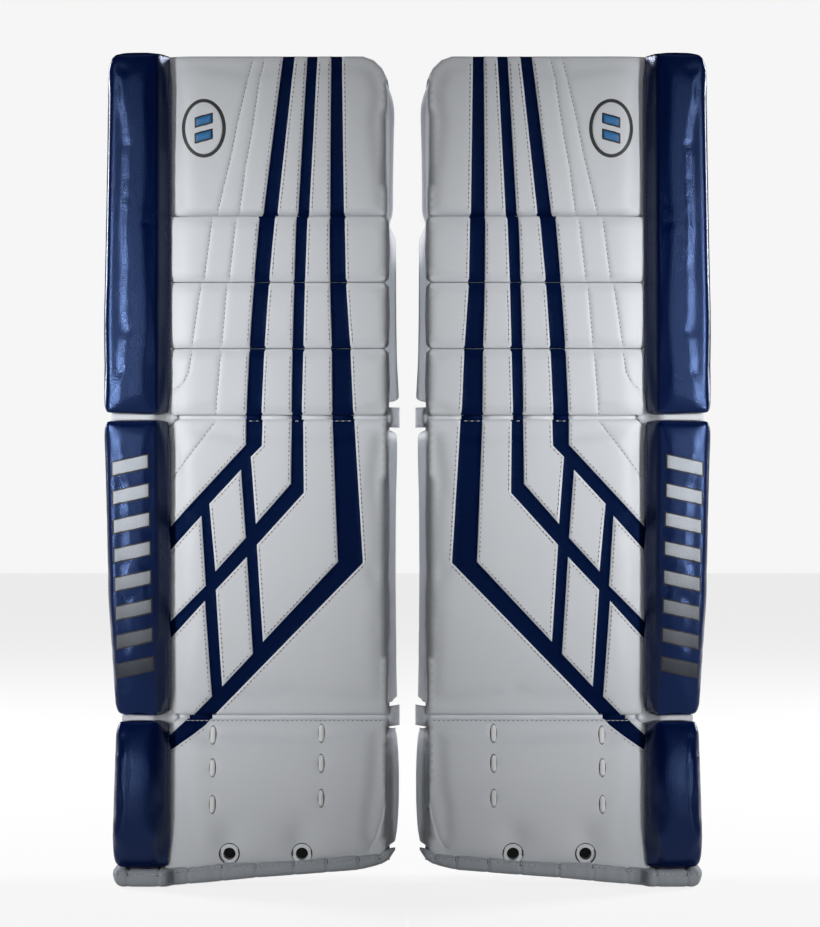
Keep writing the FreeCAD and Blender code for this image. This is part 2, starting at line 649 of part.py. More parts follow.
def make_buckles():
    """Two wire-frame buckles and the prong that swings on each one's hinge bar."""
    frames = []
    size = "(2 * buckle_bar)"
    for place, low in (("lower", "calf_strap_low"), ("upper", "calf_strap_high")):
        middle = f"({low} + strap_width / 2)"
        bottom = f"({middle} - buckle_height / 2)"
        top = f"({middle} + buckle_height / 2)"
        bars = [
            cylinder(f"hinge_bar_{place}", "buckle_bar", "buckle_height", (0, 0, 1),
                     bar_centre(), "buckle_depth", bottom),
            cylinder(f"far_bar_{place}", "buckle_bar", "buckle_height", (0, 0, 1),
                     bar_centre(), "buckle_depth + buckle_length", bottom),
        ]
        for end, level in (("bottom", f"{bottom} - buckle_bar"), ("top", f"{top} - buckle_bar")):
            bars.append(block(f"end_bar_{place}_{end}",
                              (f"{bar_centre()} - buckle_bar", f"{bar_centre()} + buckle_bar"),
                              ("buckle_depth - buckle_bar", "buckle_depth + buckle_length + buckle_bar"),
                              (level, f"{level} + {size}")))
        frames.append(joined(f"buckle_{place}", bars))
        sleeve = cylinder(f"sleeve_{place}", "sleeve_radius", "sleeve_length", (0, 0, 1),
                          bar_centre(), "buckle_depth", f"{middle} - sleeve_length / 2")
        tongue = block(f"tongue_{place}",
                       (f"{bar_centre()} - buckle_bar - prong_rest - prong_size",
                        f"{bar_centre()} - buckle_bar - prong_rest"),
                       ("buckle_depth", "buckle_depth + buckle_length + sleeve_radius"),
                       (f"{middle} - prong_size / 2", f"{middle} + prong_size / 2"))
        eye = cylinder(f"prong_eye_{place}", "buckle_bar + pin_play", "2 * sleeve_length", (0, 0, 1),
                       bar_centre(), "buckle_depth", f"{middle} - sleeve_length")
        prong = joined(f"prong_solid_{place}", [sleeve, tongue])
        keep(f"calf_prong_{place}", trimmed(f"calf_prong_{place}", prong, [eye]))
    keep("calf_buckles", joined("calf_buckles", frames))


def make_knee_strap(knee_block):
    """Strap round the knee, from the knee block's inner side to the outer roll."""
    loop = strap_loop("knee_loop", CALF_STRAP_OUTER, "(block_inner + strap_ease + strap_thickness)",
                      "knee_strap_back", "knee_strap_low")
    by_name = dict(right_pieces)
    keep("knee_strap", trimmed("knee_strap", loop, [
        by_name["outer_roll_thigh"], knee_block,
        outline_prism("thigh_solid", "side", thigh_profile(f"-{PAST}", "board_depth", KNEE_HIGH, "face_top"),
                      f"-{PAST}", f"pad_width + 2 * {PAST}"),
    ]))


def make_boot_strap():
    """Strap round the heel of the skate."""
    loop = strap_loop("boot_loop", f"({CALF_STRAP_OUTER} + boot_strap_inset)",
                      f"({CALF_STRAP_INNER} - boot_strap_inset)", "boot_strap_back", "boot_strap_low")
    by_name = dict(right_pieces)
    solid = outline_prism("boot_solid", "side", [
        (f"-{FAR}", "0"),
        ("board_depth - boot_lean", "0"),
        ("board_depth - boot_lean", "toe_level"),
        ("board_depth", f"{BOOT_LOW} - groove_rise"),
        (f"-{FAR}", BOOT_LOW),
    ], f"-{PAST}", f"pad_width + 2 * {PAST}")
    keep("boot_strap", trimmed("boot_strap", loop, [by_name["outer_roll_boot"], solid]))


def make_left_pad():
    """Carry each right-hand piece to its place and mirror it for the other leg."""
    pieces = []
    depth_middle = "((calf_strap_back - roll_front - boot_lean) / 2)"
    for label, piece in right_pieces:
        final = doc.addObject("Part::Compound", f"placed_{label}")
        final.Links = [piece]
        bind(final, Placement__Base__x="-pad_gap / 2 - pad_width", Placement__Base__y=f"-{depth_middle}")
        piece.Label = f"{label}_drawn"
        final.Label = f"right_{label}"
        mirror = doc.addObject("Part::Mirroring", f"mirrored_{label}")
        mirror.Source = final
        mirror.Normal = FreeCAD.Vector(1, 0, 0)
        mirror.Label = f"left_{label}"
        pieces += [final, mirror]
    return pieces


def check_document():
    for thing in doc.Objects:
        bad = [word for word in thing.State if word in ("Invalid", "Error")]
        if bad:
            raise SystemExit(f"{thing.Label} did not build: {thing.State}")


def export(pieces):
    os.makedirs("parts", exist_ok=True)
    for piece in pieces:
        shape = piece.Shape
        if shape.isNull() or not shape.isValid() or not shape.Solids:
            raise SystemExit(f"{piece.Label} has no sound solid")
        shape.exportStep(f"parts/{piece.Label}.step")
        box = shape.BoundBox
        print(f"{piece.Label:28s} solids {len(shape.Solids)}  volume {shape.Volume / 1000:8.1f} cm3  "
              f"X {box.XMin:7.1f} {box.XMax:7.1f}  Y {box.YMin:7.1f} {box.YMax:7.1f}  "
              f"Z {box.ZMin:6.1f} {box.ZMax:6.1f}")


fill_sheet()
make_thigh()
make_knee_rolls()
make_shin()
make_boot(make_boot_laces())
make_outer_rolls()
make_toe_binding()
make_toe_grommets()
make_toe_bridge()
make_wraps()
make_calf_straps()
make_strap_rivets()
make_buckles()
make_knee_strap(make_knee_block())
make_boot_strap()
finished = make_left_pad()
doc.recompute()
check_document()
export(finished)
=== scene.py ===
"""The looks of a pair of ice hockey goalie leg pads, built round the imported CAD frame.

Everything is drawn for the right pad in its own millimetres: u runs across from the outer edge,
v runs back from the face and z runs up from the ground, with the pad standing straight. Each piece
is then leant like the CAD pad, given to its body, and mirrored for the left pad.
"""

import json
import math

import bmesh
import bpy
import numpy as np
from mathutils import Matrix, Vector, noise
from mathutils.bvhtree import BVHTree
from mathutils.geometry import delaunay_2d_cdt

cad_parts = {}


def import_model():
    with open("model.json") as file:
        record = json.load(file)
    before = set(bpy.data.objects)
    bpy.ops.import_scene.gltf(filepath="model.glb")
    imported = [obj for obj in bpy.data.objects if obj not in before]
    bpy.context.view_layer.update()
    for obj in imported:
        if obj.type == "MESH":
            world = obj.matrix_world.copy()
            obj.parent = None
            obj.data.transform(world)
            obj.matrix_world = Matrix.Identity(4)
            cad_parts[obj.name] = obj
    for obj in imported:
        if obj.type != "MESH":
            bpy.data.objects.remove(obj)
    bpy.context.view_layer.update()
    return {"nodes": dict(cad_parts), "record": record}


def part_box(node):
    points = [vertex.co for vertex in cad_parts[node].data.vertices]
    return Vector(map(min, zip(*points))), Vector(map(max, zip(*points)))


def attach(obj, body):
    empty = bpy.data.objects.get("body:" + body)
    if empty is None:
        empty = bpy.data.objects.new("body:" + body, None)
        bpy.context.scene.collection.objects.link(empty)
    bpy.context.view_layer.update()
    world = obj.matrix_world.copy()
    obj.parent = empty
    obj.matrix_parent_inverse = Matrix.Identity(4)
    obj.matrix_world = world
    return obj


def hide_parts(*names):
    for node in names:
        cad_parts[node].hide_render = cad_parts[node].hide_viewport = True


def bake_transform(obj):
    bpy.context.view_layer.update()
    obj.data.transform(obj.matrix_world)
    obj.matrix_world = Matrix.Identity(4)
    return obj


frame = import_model()

# ---- levels and widths, in millimetres ----------------------------------------------------------

MM = 0.001
OUTER_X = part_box("right_outer_roll_thigh")[0].x
FACE_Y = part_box("right_shin_cover")[0].y
FACE_EDGE = 268
NARROW_EDGE = 278
PAD_WIDTH = 281
BOARD_DEPTH = 58
ROLL_FRONT = -22
ROLL_BACK = 70
FACE_TOP = 779
KNEE_SEAM = 629
SEAMS = (441.5, 504, 566.5, 629)
KNEE_BREAK = 439.5
BOOT_BREAK = 157
TOE_LEVEL = 48
THIGH_LEAN = 14
BOOT_LEAN = 6
ANKLE_DEPTH = 9
SIDES = ("right", "left")
AWAY = 200                      # a ray towards a surface starts this far from the face


def lean(z):
    """How far back the pad has leant at a height."""
    if z > KNEE_BREAK:
        return THIGH_LEAN * (z - KNEE_BREAK) / (FACE_TOP - KNEE_BREAK)
    if z < BOOT_BREAK:
        return -BOOT_LEAN * min(1, (BOOT_BREAK - z) / (BOOT_BREAK - TOE_LEVEL))
    return 0


def ankle(z):
    """How far the front draws back towards the flex line above the boot."""
    if z > BOOT_BREAK:
        return ANKLE_DEPTH * max(0, 1 - (z - BOOT_BREAK) / 105) ** 1.7
    return ANKLE_DEPTH * max(0, 1 - (BOOT_BREAK - z) / 62) ** 1.5


def hollow(u):
    """How far the face sinks where it meets the outer roll."""
    return 6.5 * math.exp(-((u - 56) / 14) ** 2)


def place(u, v, z):
    """A point of the straight right pad, in metres."""
    return Vector((OUTER_X + u * MM, FACE_Y + v * MM, z * MM))


def leant(u, v, z):
    """The same point once the pad has leant."""
    return place(u, v + lean(z), z)


# ---- materials ----------------------------------------------------------------------------------

def linear(red, green, blue):
    """A colour given in 0-255 screen values, as light."""
    return tuple(((c / 255 + 0.055) / 1.055) ** 2.4 if c > 10 else c / 255 / 12.92
                 for c in (red, green, blue)) + (1,)


class Shader:
    """A material with its nodes, and short ways to add more of them."""

    def __init__(self, name, colour, roughness, **values):
        self.material = bpy.data.materials.new(name)
        self.material.use_nodes = True
        self.tree = self.material.node_tree
        self.surface = self.tree.nodes["Principled BSDF"]
        self.set("Base Color", colour)
        self.set("Roughness", roughness)
        for socket, value in values.items():
            self.set(socket.replace("_", " "), value)
        self.where = self.add("ShaderNodeTexCoord").outputs["Object"]
        self.material.diffuse_color = colour

    def set(self, socket, value):
        self.surface.inputs[socket].default_value = value

    def add(self, kind, **properties):
        node = self.tree.nodes.new(kind)
        for name, value in properties.items():
            setattr(node, name, value)
        return node

    def link(self, output, target):
        self.tree.links.new(output, target)

    def noise(self, scale, detail=3.0, roughness=0.55):
        node = self.add("ShaderNodeTexNoise")
        node.inputs["Scale"].default_value = scale
        node.inputs["Detail"].default_value = detail
        node.inputs["Roughness"].default_value = roughness
        self.link(self.where, node.inputs["Vector"])
        return node.outputs["Fac"]

    def cells(self, scale):
        node = self.add("ShaderNodeTexVoronoi", feature="F1")
        node.inputs["Scale"].default_value = scale
        self.link(self.where, node.inputs["Vector"])
        return node.outputs["Distance"]

    def wave(self, scale, axis):
        node = self.add("ShaderNodeTexWave", bands_direction=axis, wave_profile="SIN")
        node.inputs["Scale"].default_value = scale
        self.link(self.where, node.inputs["Vector"])
        return node.outputs["Fac"]

    def span(self, value, low, high):
        """Stretch a 0-1 value to run from low to high."""
        node = self.add("ShaderNodeMapRange")
        node.inputs["To Min"].default_value = low
        node.inputs["To Max"].default_value = high
        self.link(value, node.inputs["Value"])
        return node.outputs["Result"]

    def product(self, one, other):
        node = self.add("ShaderNodeMath", operation="MULTIPLY")
        self.link(one, node.inputs[0])
        if isinstance(other, float):
            node.inputs[1].default_value = other
        else:
            self.link(other, node.inputs[1])
        return node.outputs["Value"]

    def total(self, one, other):
        node = self.add("ShaderNodeMath", operation="ADD")
        self.link(one, node.inputs[0])
        self.link(other, node.inputs[1])
        return node.outputs["Value"]

    def tint(self, factor, low, high):
        """Colour the surface between two colours."""
        node = self.add("ShaderNodeMix", data_type="RGBA")
        node.inputs["A"].default_value = low
        node.inputs["B"].default_value = high
        self.link(factor, node.inputs["Factor"])
        self.link(node.outputs["Result"], self.surface.inputs["Base Color"])
        return node.outputs["Result"]

    def roughness(self, value, low, high):
        self.link(self.span(value, low, high), self.surface.inputs["Roughness"])

    def bump(self, height, metres):
        node = self.add("ShaderNodeBump")
        node.inputs["Distance"].default_value = metres
        self.link(height, node.inputs["Height"])
        self.link(node.outputs["Normal"], self.surface.inputs["Normal"])


def leather(name, light, dark, roughness, grain, depth, **values):
    """Grained synthetic leather: pebbles about 1/grain metres wide, faint clouding, uneven polish."""
    shader = Shader(name, light, roughness, **values)
    pebbles = shader.cells(grain)
    fine = shader.noise(grain * 2.6, 4.0)
    clouds = shader.noise(9.0, 4.0, 0.6)
    shader.tint(shader.total(shader.product(clouds, 0.75), shader.product(fine, 0.25)), dark, light)
    shader.roughness(clouds, roughness - 0.07, roughness + 0.07)
    shader.bump(shader.total(pebbles, shader.product(fine, 0.5)), depth)
    return shader.material


def woven(name, light, dark, threads, depth):
    """Woven fabric: two crossing sets of threads, threads of them to the metre."""
    shader = Shader(name, light, 0.85, Sheen_Weight=0.25, Sheen_Roughness=0.4)
    across = shader.total(shader.wave(threads, "X"), shader.wave(threads, "Y"))
    weave = shader.total(shader.product(across, 0.5), shader.wave(threads, "Z"))
    fuzz = shader.noise(threads * 0.7)
    shader.tint(shader.product(shader.total(shader.product(weave, 0.5), fuzz), 0.55), dark, light)
    shader.bump(shader.total(weave, fuzz), depth)
    return shader.material


def polished_metal(name, colour, roughness, metallic=1.0):
    shader = Shader(name, colour, roughness, Metallic=metallic)
    marks = shader.noise(420.0, 5.0, 0.7)
    shader.roughness(marks, roughness - 0.06, roughness + 0.12)
    shader.bump(marks, 0.00004)
    return shader.material


def foil(name):
    """Silver foil print, darkened towards the ankle with painted shade."""
    shader = Shader(name, linear(198, 205, 214), 0.6, Metallic=0.15, Specular_IOR_Level=0.3)
    height = shader.add("ShaderNodeSeparateXYZ")
    shader.link(shader.where, height.inputs["Vector"])
    shade_by_height = shader.add("ShaderNodeMapRange", interpolation_type="SMOOTHSTEP")
    shade_by_height.inputs["From Min"].default_value = 0.18
    shade_by_height.inputs["From Max"].default_value = 0.36
    shader.link(height.outputs["Z"], shade_by_height.inputs["Value"])
    speckle = shader.noise(900.0, 2.0, 0.8)
    # Painted shade: dark grey below 0.18 m, full silver from 0.36 m up.
    shader.tint(shade_by_height.outputs["Result"], linear(46, 51, 60), linear(196, 202, 211))
    shader.roughness(speckle, 0.45, 0.75)
    shader.bump(shader.total(speckle, shader.cells(900.0)), 0.0004)
    return shader.material


WHITE = leather("white_leather", linear(226, 229, 233), linear(214, 218, 224), 0.46, 950.0, 0.00007,
                Specular_IOR_Level=0.45)
NAVY = leather("navy_leather", linear(4, 22, 62), linear(2, 16, 51), 0.45, 950.0, 0.00008,
               Specular_IOR_Level=0.06, Specular_Tint=linear(150, 185, 255))
ROLL_NAVY = leather("roll_leather", linear(3, 21, 67), linear(2, 15, 54), 0.25, 800.0, 0.00009,
                    Specular_IOR_Level=0.42, Specular_Tint=linear(150, 185, 255))
BINDING = leather("binding_leather", linear(180, 186, 193), linear(162, 169, 177), 0.5, 900.0, 0.00009,
                  Specular_IOR_Level=0.4)
# A darker copy of the white leather: painted shade on the sloping inner sides.
SIDE_SHADE = leather("side_painted_shade", linear(192, 196, 202), linear(180, 184, 191), 0.5, 950.0, 0.00007,
               Specular_IOR_Level=0.35)
# Dark grey: painted shade round the grommets' flanges and behind the lace loops, and the dark thread of
# the binding's tacks.
SHADE_AND_DARK_THREAD = leather("painted_shade_and_dark_thread", linear(52, 55, 62), linear(34, 37, 43), 0.7, 900.0, 0.00005)
THREAD = woven("white_thread", linear(238, 239, 240), linear(190, 193, 198), 2600.0, 0.00006)
NAVY_THREAD = woven("navy_thread", linear(30, 42, 92), linear(12, 18, 52), 2600.0, 0.00006)
STRAP_THREAD = woven("grey_thread", linear(128, 130, 136), linear(88, 90, 96), 2600.0, 0.00006)
# Grey discs of painted shade in the needle holes on the white leather.
NEEDLE_HOLE_SHADE = Shader("needle_hole_painted_shade", linear(112, 116, 126), 0.9).material
LACE = woven("white_lace", linear(252, 252, 252), linear(240, 241, 243), 900.0, 0.00004)
LINER = woven("black_liner", linear(34, 35, 39), linear(16, 16, 19), 700.0, 0.0002)
WRAP = woven("black_nylon", linear(42, 43, 48), linear(20, 20, 24), 520.0, 0.00025)
WEBBING = woven("black_webbing", linear(38, 38, 42), linear(14, 14, 17), 380.0, 0.0004)
STRAP = leather("strap_leather", linear(40, 40, 43), linear(22, 22, 25), 0.5, 800.0, 0.00012)
CORE = leather("grey_board", linear(120, 122, 126), linear(96, 98, 102), 0.8, 500.0, 0.0001)
BUCKLE = polished_metal("buckle_chrome", linear(206, 208, 211), 0.2)
GROMMET = polished_metal("grommet_nickel", linear(206, 208, 211), 0.45, 0.35)
RIVET = polished_metal("rivet_steel", linear(190, 192, 196), 0.34)
# Near-black discs of painted shade in the needle holes on dark leather and fabric.
HOLE_SHADE_DARK = Shader("dark_hole_painted_shade", linear(10, 10, 12), 0.9).material
BLUE = leather("badge_blue", linear(26, 122, 184), linear(14, 100, 160), 0.45, 1200.0, 0.00005)
BLACK = leather("badge_black", linear(20, 22, 28), linear(10, 12, 16), 0.5, 1200.0, 0.00005)
FOIL = foil("silver_foil")

FINISHES = {"cover": WHITE, "outer_roll": ROLL_NAVY, "core": CORE, "liner": LINER, "wrap": WRAP,
            "binding": BINDING, "grommet": GROMMET, "lace": LACE, "webbing": WEBBING,
            "strap": STRAP, "buckle": BUCKLE, "rivet": RIVET}


# ---- mesh helpers -------------------------------------------------------------------------------

def piece(name, points, faces, materials, indices=None):
    """An object from points in metres and faces, with a material for each face."""
    mesh = bpy.data.meshes.new(name)
    mesh.from_pydata([tuple(p) for p in points], [], [tuple(f) for f in faces])
    for material in materials:
        mesh.materials.append(material)
    if indices is not None:
        mesh.polygons.foreach_set("material_index", np.asarray(indices, np.int32))
    mesh.polygons.foreach_set("use_smooth", np.ones(len(mesh.polygons), bool))
    mesh.update()
    obj = bpy.data.objects.new(name, mesh)
    bpy.context.scene.collection.objects.link(obj)
    return obj


def coordinates(obj):
    flat = np.zeros(len(obj.data.vertices) * 3, np.float32)
    obj.data.vertices.foreach_get("co", flat)
    return flat.reshape(-1, 3).astype(float)


def normals(obj):
    flat = np.zeros(len(obj.data.vertices) * 3, np.float32)
    obj.data.vertex_normals.foreach_get("vector", flat)
    return flat.reshape(-1, 3).astype(float)


def move_to(obj, points):
    obj.data.vertices.foreach_set("co", np.asarray(points, np.float32).ravel())
    obj.data.update()


def local(points):
    """Points in metres, as u, v, z in millimetres."""
    return (np.asarray(points) - np.array([OUTER_X, FACE_Y, 0])) / MM


def world(points):
    return np.asarray(points) * MM + np.array([OUTER_X, FACE_Y, 0])


def bake(obj):
    """Apply the modifiers."""
    graph = bpy.context.evaluated_depsgraph_get()
    mesh = bpy.data.meshes.new_from_object(obj.evaluated_get(graph))
    old = obj.data
    obj.modifiers.clear()
    obj.data = mesh
    bpy.data.meshes.remove(old)


def loft(name, sections, materials):
    """A closed body through rings of points (u, v, z)."""
    count = len(sections[0])
    points = [place(*p) for ring in sections for p in ring]
    faces = [tuple(reversed(range(count))),
             tuple(range((len(sections) - 1) * count, len(sections) * count))]
    for level in range(len(sections) - 1):
        for k in range(count):
            low, after = level * count + k, level * count + (k + 1) % count
            faces.append((low, after, after + count, low + count))
    obj = piece(name, points, faces, materials)
    tidy_mesh = bmesh.new()
    tidy_mesh.from_mesh(obj.data)
    bmesh.ops.recalc_face_normals(tidy_mesh, faces=tidy_mesh.faces)
    tidy_mesh.to_mesh(obj.data)
    tidy_mesh.free()
    return obj


def swell(obj, cap, pressure):
    """Blow the cover up like stuffed cloth, no point moving further than cap millimetres."""
    rest = coordinates(obj) - normals(obj) * cap * MM * 0.72
    move_to(obj, rest)
    scene = bpy.context.scene
    cloth = obj.modifiers.new("stuffing", "CLOTH")
    cloth.settings.effector_weights.gravity = 0
    cloth.settings.use_pressure = True
    cloth.settings.uniform_pressure_force = pressure
    cloth.settings.tension_stiffness = 12
    cloth.settings.compression_stiffness = 12
    cloth.settings.quality = 4
    cloth.collision_settings.use_collision = False
    for step in range(1, 21):
        scene.frame_set(step)
    graph = bpy.context.evaluated_depsgraph_get()
    swollen = obj.evaluated_get(graph)
    blown = np.zeros(len(rest) * 3, np.float32)
    swollen.data.vertices.foreach_get("co", blown)
    shift = blown.reshape(-1, 3) - rest
    length = np.linalg.norm(shift, axis=1)[:, None]
    shift *= np.minimum(1, cap * MM / np.maximum(length, 1e-9))
    obj.modifiers.remove(cloth)
    scene.frame_set(1)
    move_to(obj, rest + shift)


def stuffed(name, sections, materials, voxel=5.0, cap=5.0, pressure=4.0, rounds=3, finer=0):
    """A padded body: remeshed, swollen as cloth, then smoothed."""
    obj = loft(name, sections, materials)
    remesh = obj.modifiers.new("remesh", "REMESH")
    remesh.mode = "VOXEL"
    remesh.voxel_size = voxel * MM
    remesh.use_smooth_shade = True
    bake(obj)
    swell(obj, cap, pressure)
    smooth = obj.modifiers.new("smooth", "SMOOTH")
    smooth.iterations = rounds
    smooth.factor = 0.5
    if finer:
        subdivide = obj.modifiers.new("finer", "SUBSURF")
        subdivide.levels = finer
    bake(obj)
    return obj


def merge(name, parts):
    """Join meshes into one object, keeping their materials."""
    materials, points, faces, indices = [], [], [], []
    for part in parts:
        slots = []
        for material in part.data.materials:
            if material not in materials:
                materials.append(material)
            slots.append(materials.index(material))
        start = len(points)
        points.extend(coordinates(part))
        for polygon in part.data.polygons:
            faces.append([start + k for k in polygon.vertices])
            indices.append(slots[polygon.material_index])
        bpy.data.objects.remove(part)
    return piece(name, points, faces, materials, indices)


def hand_over(obj, name, body, nodes=(), bend=None, straight=True):
    """Lean the right pad's piece, mirror it for the left pad, and give each to its body.

    bend = (body, body, start, end), start and end being u, v, z, is given instead of a body: the piece is
    then left in place and given to no body, and the two bodies and ends are not used.
    """
    if straight:
        points = local(coordinates(obj))
        points[:, 1] += [lean(z) for z in points[:, 2]]
        move_to(obj, world(points))
    obj.name = "right_" + name
    mirrored = obj.copy()
    mirrored.data = obj.data.copy()
    mirrored.name = "left_" + name
    bpy.context.scene.collection.objects.link(mirrored)
    points = coordinates(mirrored)
    points[:, 0] *= -1
    move_to(mirrored, points)
    mirrored.data.flip_normals()
    for side, one in zip(SIDES, (obj, mirrored)):
        if bend:
            first, second, start, end = bend
            ends = [Vector(leant(*p)) for p in (start, end)]
            if side == "left":
                for p in ends:
                    p.x = -p.x
            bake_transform(one)
        else:
            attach(one, f"{side}_{body}")
        if nodes:
            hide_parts(*[f"{side}_{node}" for node in nodes])


def surface_of(obj):
    return BVHTree.FromPolygons([tuple(p) for p in coordinates(obj)],
                                [tuple(p.vertices) for p in obj.data.polygons])


def back_of(obj):
    """A function giving the depth of an object's back at (u, z)."""
    tree = surface_of(obj)

    def depth(u, z):
        hit = tree.ray_cast(place(u, AWAY, z), Vector((0, -1, 0)))[0]
        return (hit.y - FACE_Y) / MM
    return depth


def front_of(obj, deepest=AWAY):
    """A function giving the depth of an object's front at (u, z).

    Between the roll and the sloping side it goes no further back than deepest beyond the face's own
    hollows, so that leather laid on a rounded end keeps its full length.
    """
    tree = surface_of(obj)

    def depth(u, z):
        hit = tree.ray_cast(place(u, -AWAY, z), Vector((0, 1, 0)))[0]
        if hit is None:
            hit = tree.find_nearest(place(u, 6, z))[0]
        found = (hit.y - FACE_Y) / MM
        return min(found, deepest + ankle(z) + hollow(u)) if u < FACE_EDGE - 3 else found
    return depth


# ---- flat outlines ------------------------------------------------------------------------------

def turned_left(outline):
    """The outline counter-clockwise."""
    area = sum(a[0] * b[1] - b[0] * a[1] for a, b in zip(outline, outline[1:] + outline[:1]))
    return list(outline) if area > 0 else list(reversed(outline))


def inset(outline, by):
    """The outline moved inwards, its corners mitred."""
    moved = []
    for k, corner in enumerate(outline):
        before, after = outline[k - 1], outline[(k + 1) % len(outline)]
        one = Vector((corner[0] - before[0], corner[1] - before[1])).normalized()
        two = Vector((after[0] - corner[0], after[1] - corner[1])).normalized()
        inward = Vector((-one.y - two.y, one.x + two.x))
        if inward.length < 1e-6:
            inward = Vector((-one.y, one.x))
        inward.normalize()
        share = max(0.35, inward.dot(Vector((-two.y, two.x))))
        moved.append((corner[0] + inward.x * by / share, corner[1] + inward.y * by / share))
    return moved


def counts(outline, step):
    return [max(1, math.ceil(math.dist(a, b) / step))
            for a, b in zip(outline, outline[1:] + outline[:1])]


def walked(outline, numbers):
    """Points along the outline's edges, numbers of them on each."""
    points = []
    for a, b, number in zip(outline, outline[1:] + outline[:1], numbers):
        points += [(a[0] + (b[0] - a[0]) * k / number, a[1] + (b[1] - a[1]) * k / number)
                   for k in range(number)]
    return points


def inside(points, outline):
    """Which points are inside the outline."""
    x, y = np.asarray(points, float).reshape(-1, 2).T
    result = np.zeros(len(x), bool)
    for (ax, ay), (bx, by) in zip(outline, outline[1:] + outline[:1]):
        crosses = (ay > y) != (by > y)
        with np.errstate(divide="ignore", invalid="ignore"):
            at = ax + (y - ay) * (bx - ax) / (by - ay)
        result ^= crosses & (x < at)
    return result


def distance(points, segments):
    """How far each point is from the nearest of some segments."""
    points = np.asarray(points, float).reshape(-1, 2)
    best = np.full(len(points), 1e9)
    for a, b in segments:
        a, b = np.array(a, float), np.array(b, float)
        along = b - a
        t = np.clip((points - a) @ along / max(along @ along, 1e-9), 0, 1)
        best = np.minimum(best, np.linalg.norm(points - a - t[:, None] * along, axis=1))
    return best


def edges_of(outline):
    return list(zip(outline, outline[1:] + outline[:1]))


def oval(u, z, wide, high, sides):
    """Points round an oval, wide and high being its radii."""
    return [(u + wide * math.cos(turn), z + high * math.sin(turn))
            for turn in (k * math.tau / sides for k in range(sides))]


def rounding(at, low, high, radius):
    """How far a rounded corner takes an edge in, near either end of a span."""
    cut = max(0, radius - (at - low), radius - (high - at))
    return radius - math.sqrt(max(0, radius ** 2 - cut ** 2))


# ---- the leather of the face --------------------------------------------------------------------

STEP_UP = 1.3                   # how far a white panel stands above the navy leather
STITCH_IN = 2.3                 # a seam's distance from the panel's edge
RINGS = (0, 0.45, 1.1, 1.7, 2.3, 2.9, 3.6)
RISE = (0, 0.72, 1, 0.96, 0.74, 0.96, 1)
GRID = 4.5
UNDER = 0.5                     # how far the navy leather stands above the padding
HOLE_SIDES = 24


def closed(name, front, base, thickness, faces, materials, colours=None):
    """A sheet with the given front, closed behind it; each face and its rim are one colour."""
    back = front.copy()
    back[:, 1] = base + thickness
    count = len(front)
    colours = [0] * len(faces) if colours is None else list(colours)
    owner = {}
    for (a, b, c), colour in zip(faces, colours):
        owner.update({(a, b): colour, (b, c): colour, (c, a): colour})
    rims = [e for e in owner if (e[1], e[0]) not in owner]
    whole = [tuple(face) for face in faces]
    whole += [(a + count, c + count, b + count) for a, b, c in faces]
    whole += [(b, a, a + count, b + count) for a, b in rims]
    indices = colours + colours + [owner[e] for e in rims]
    return piece(name, world(np.vstack([front, back])), whole, materials, indices)


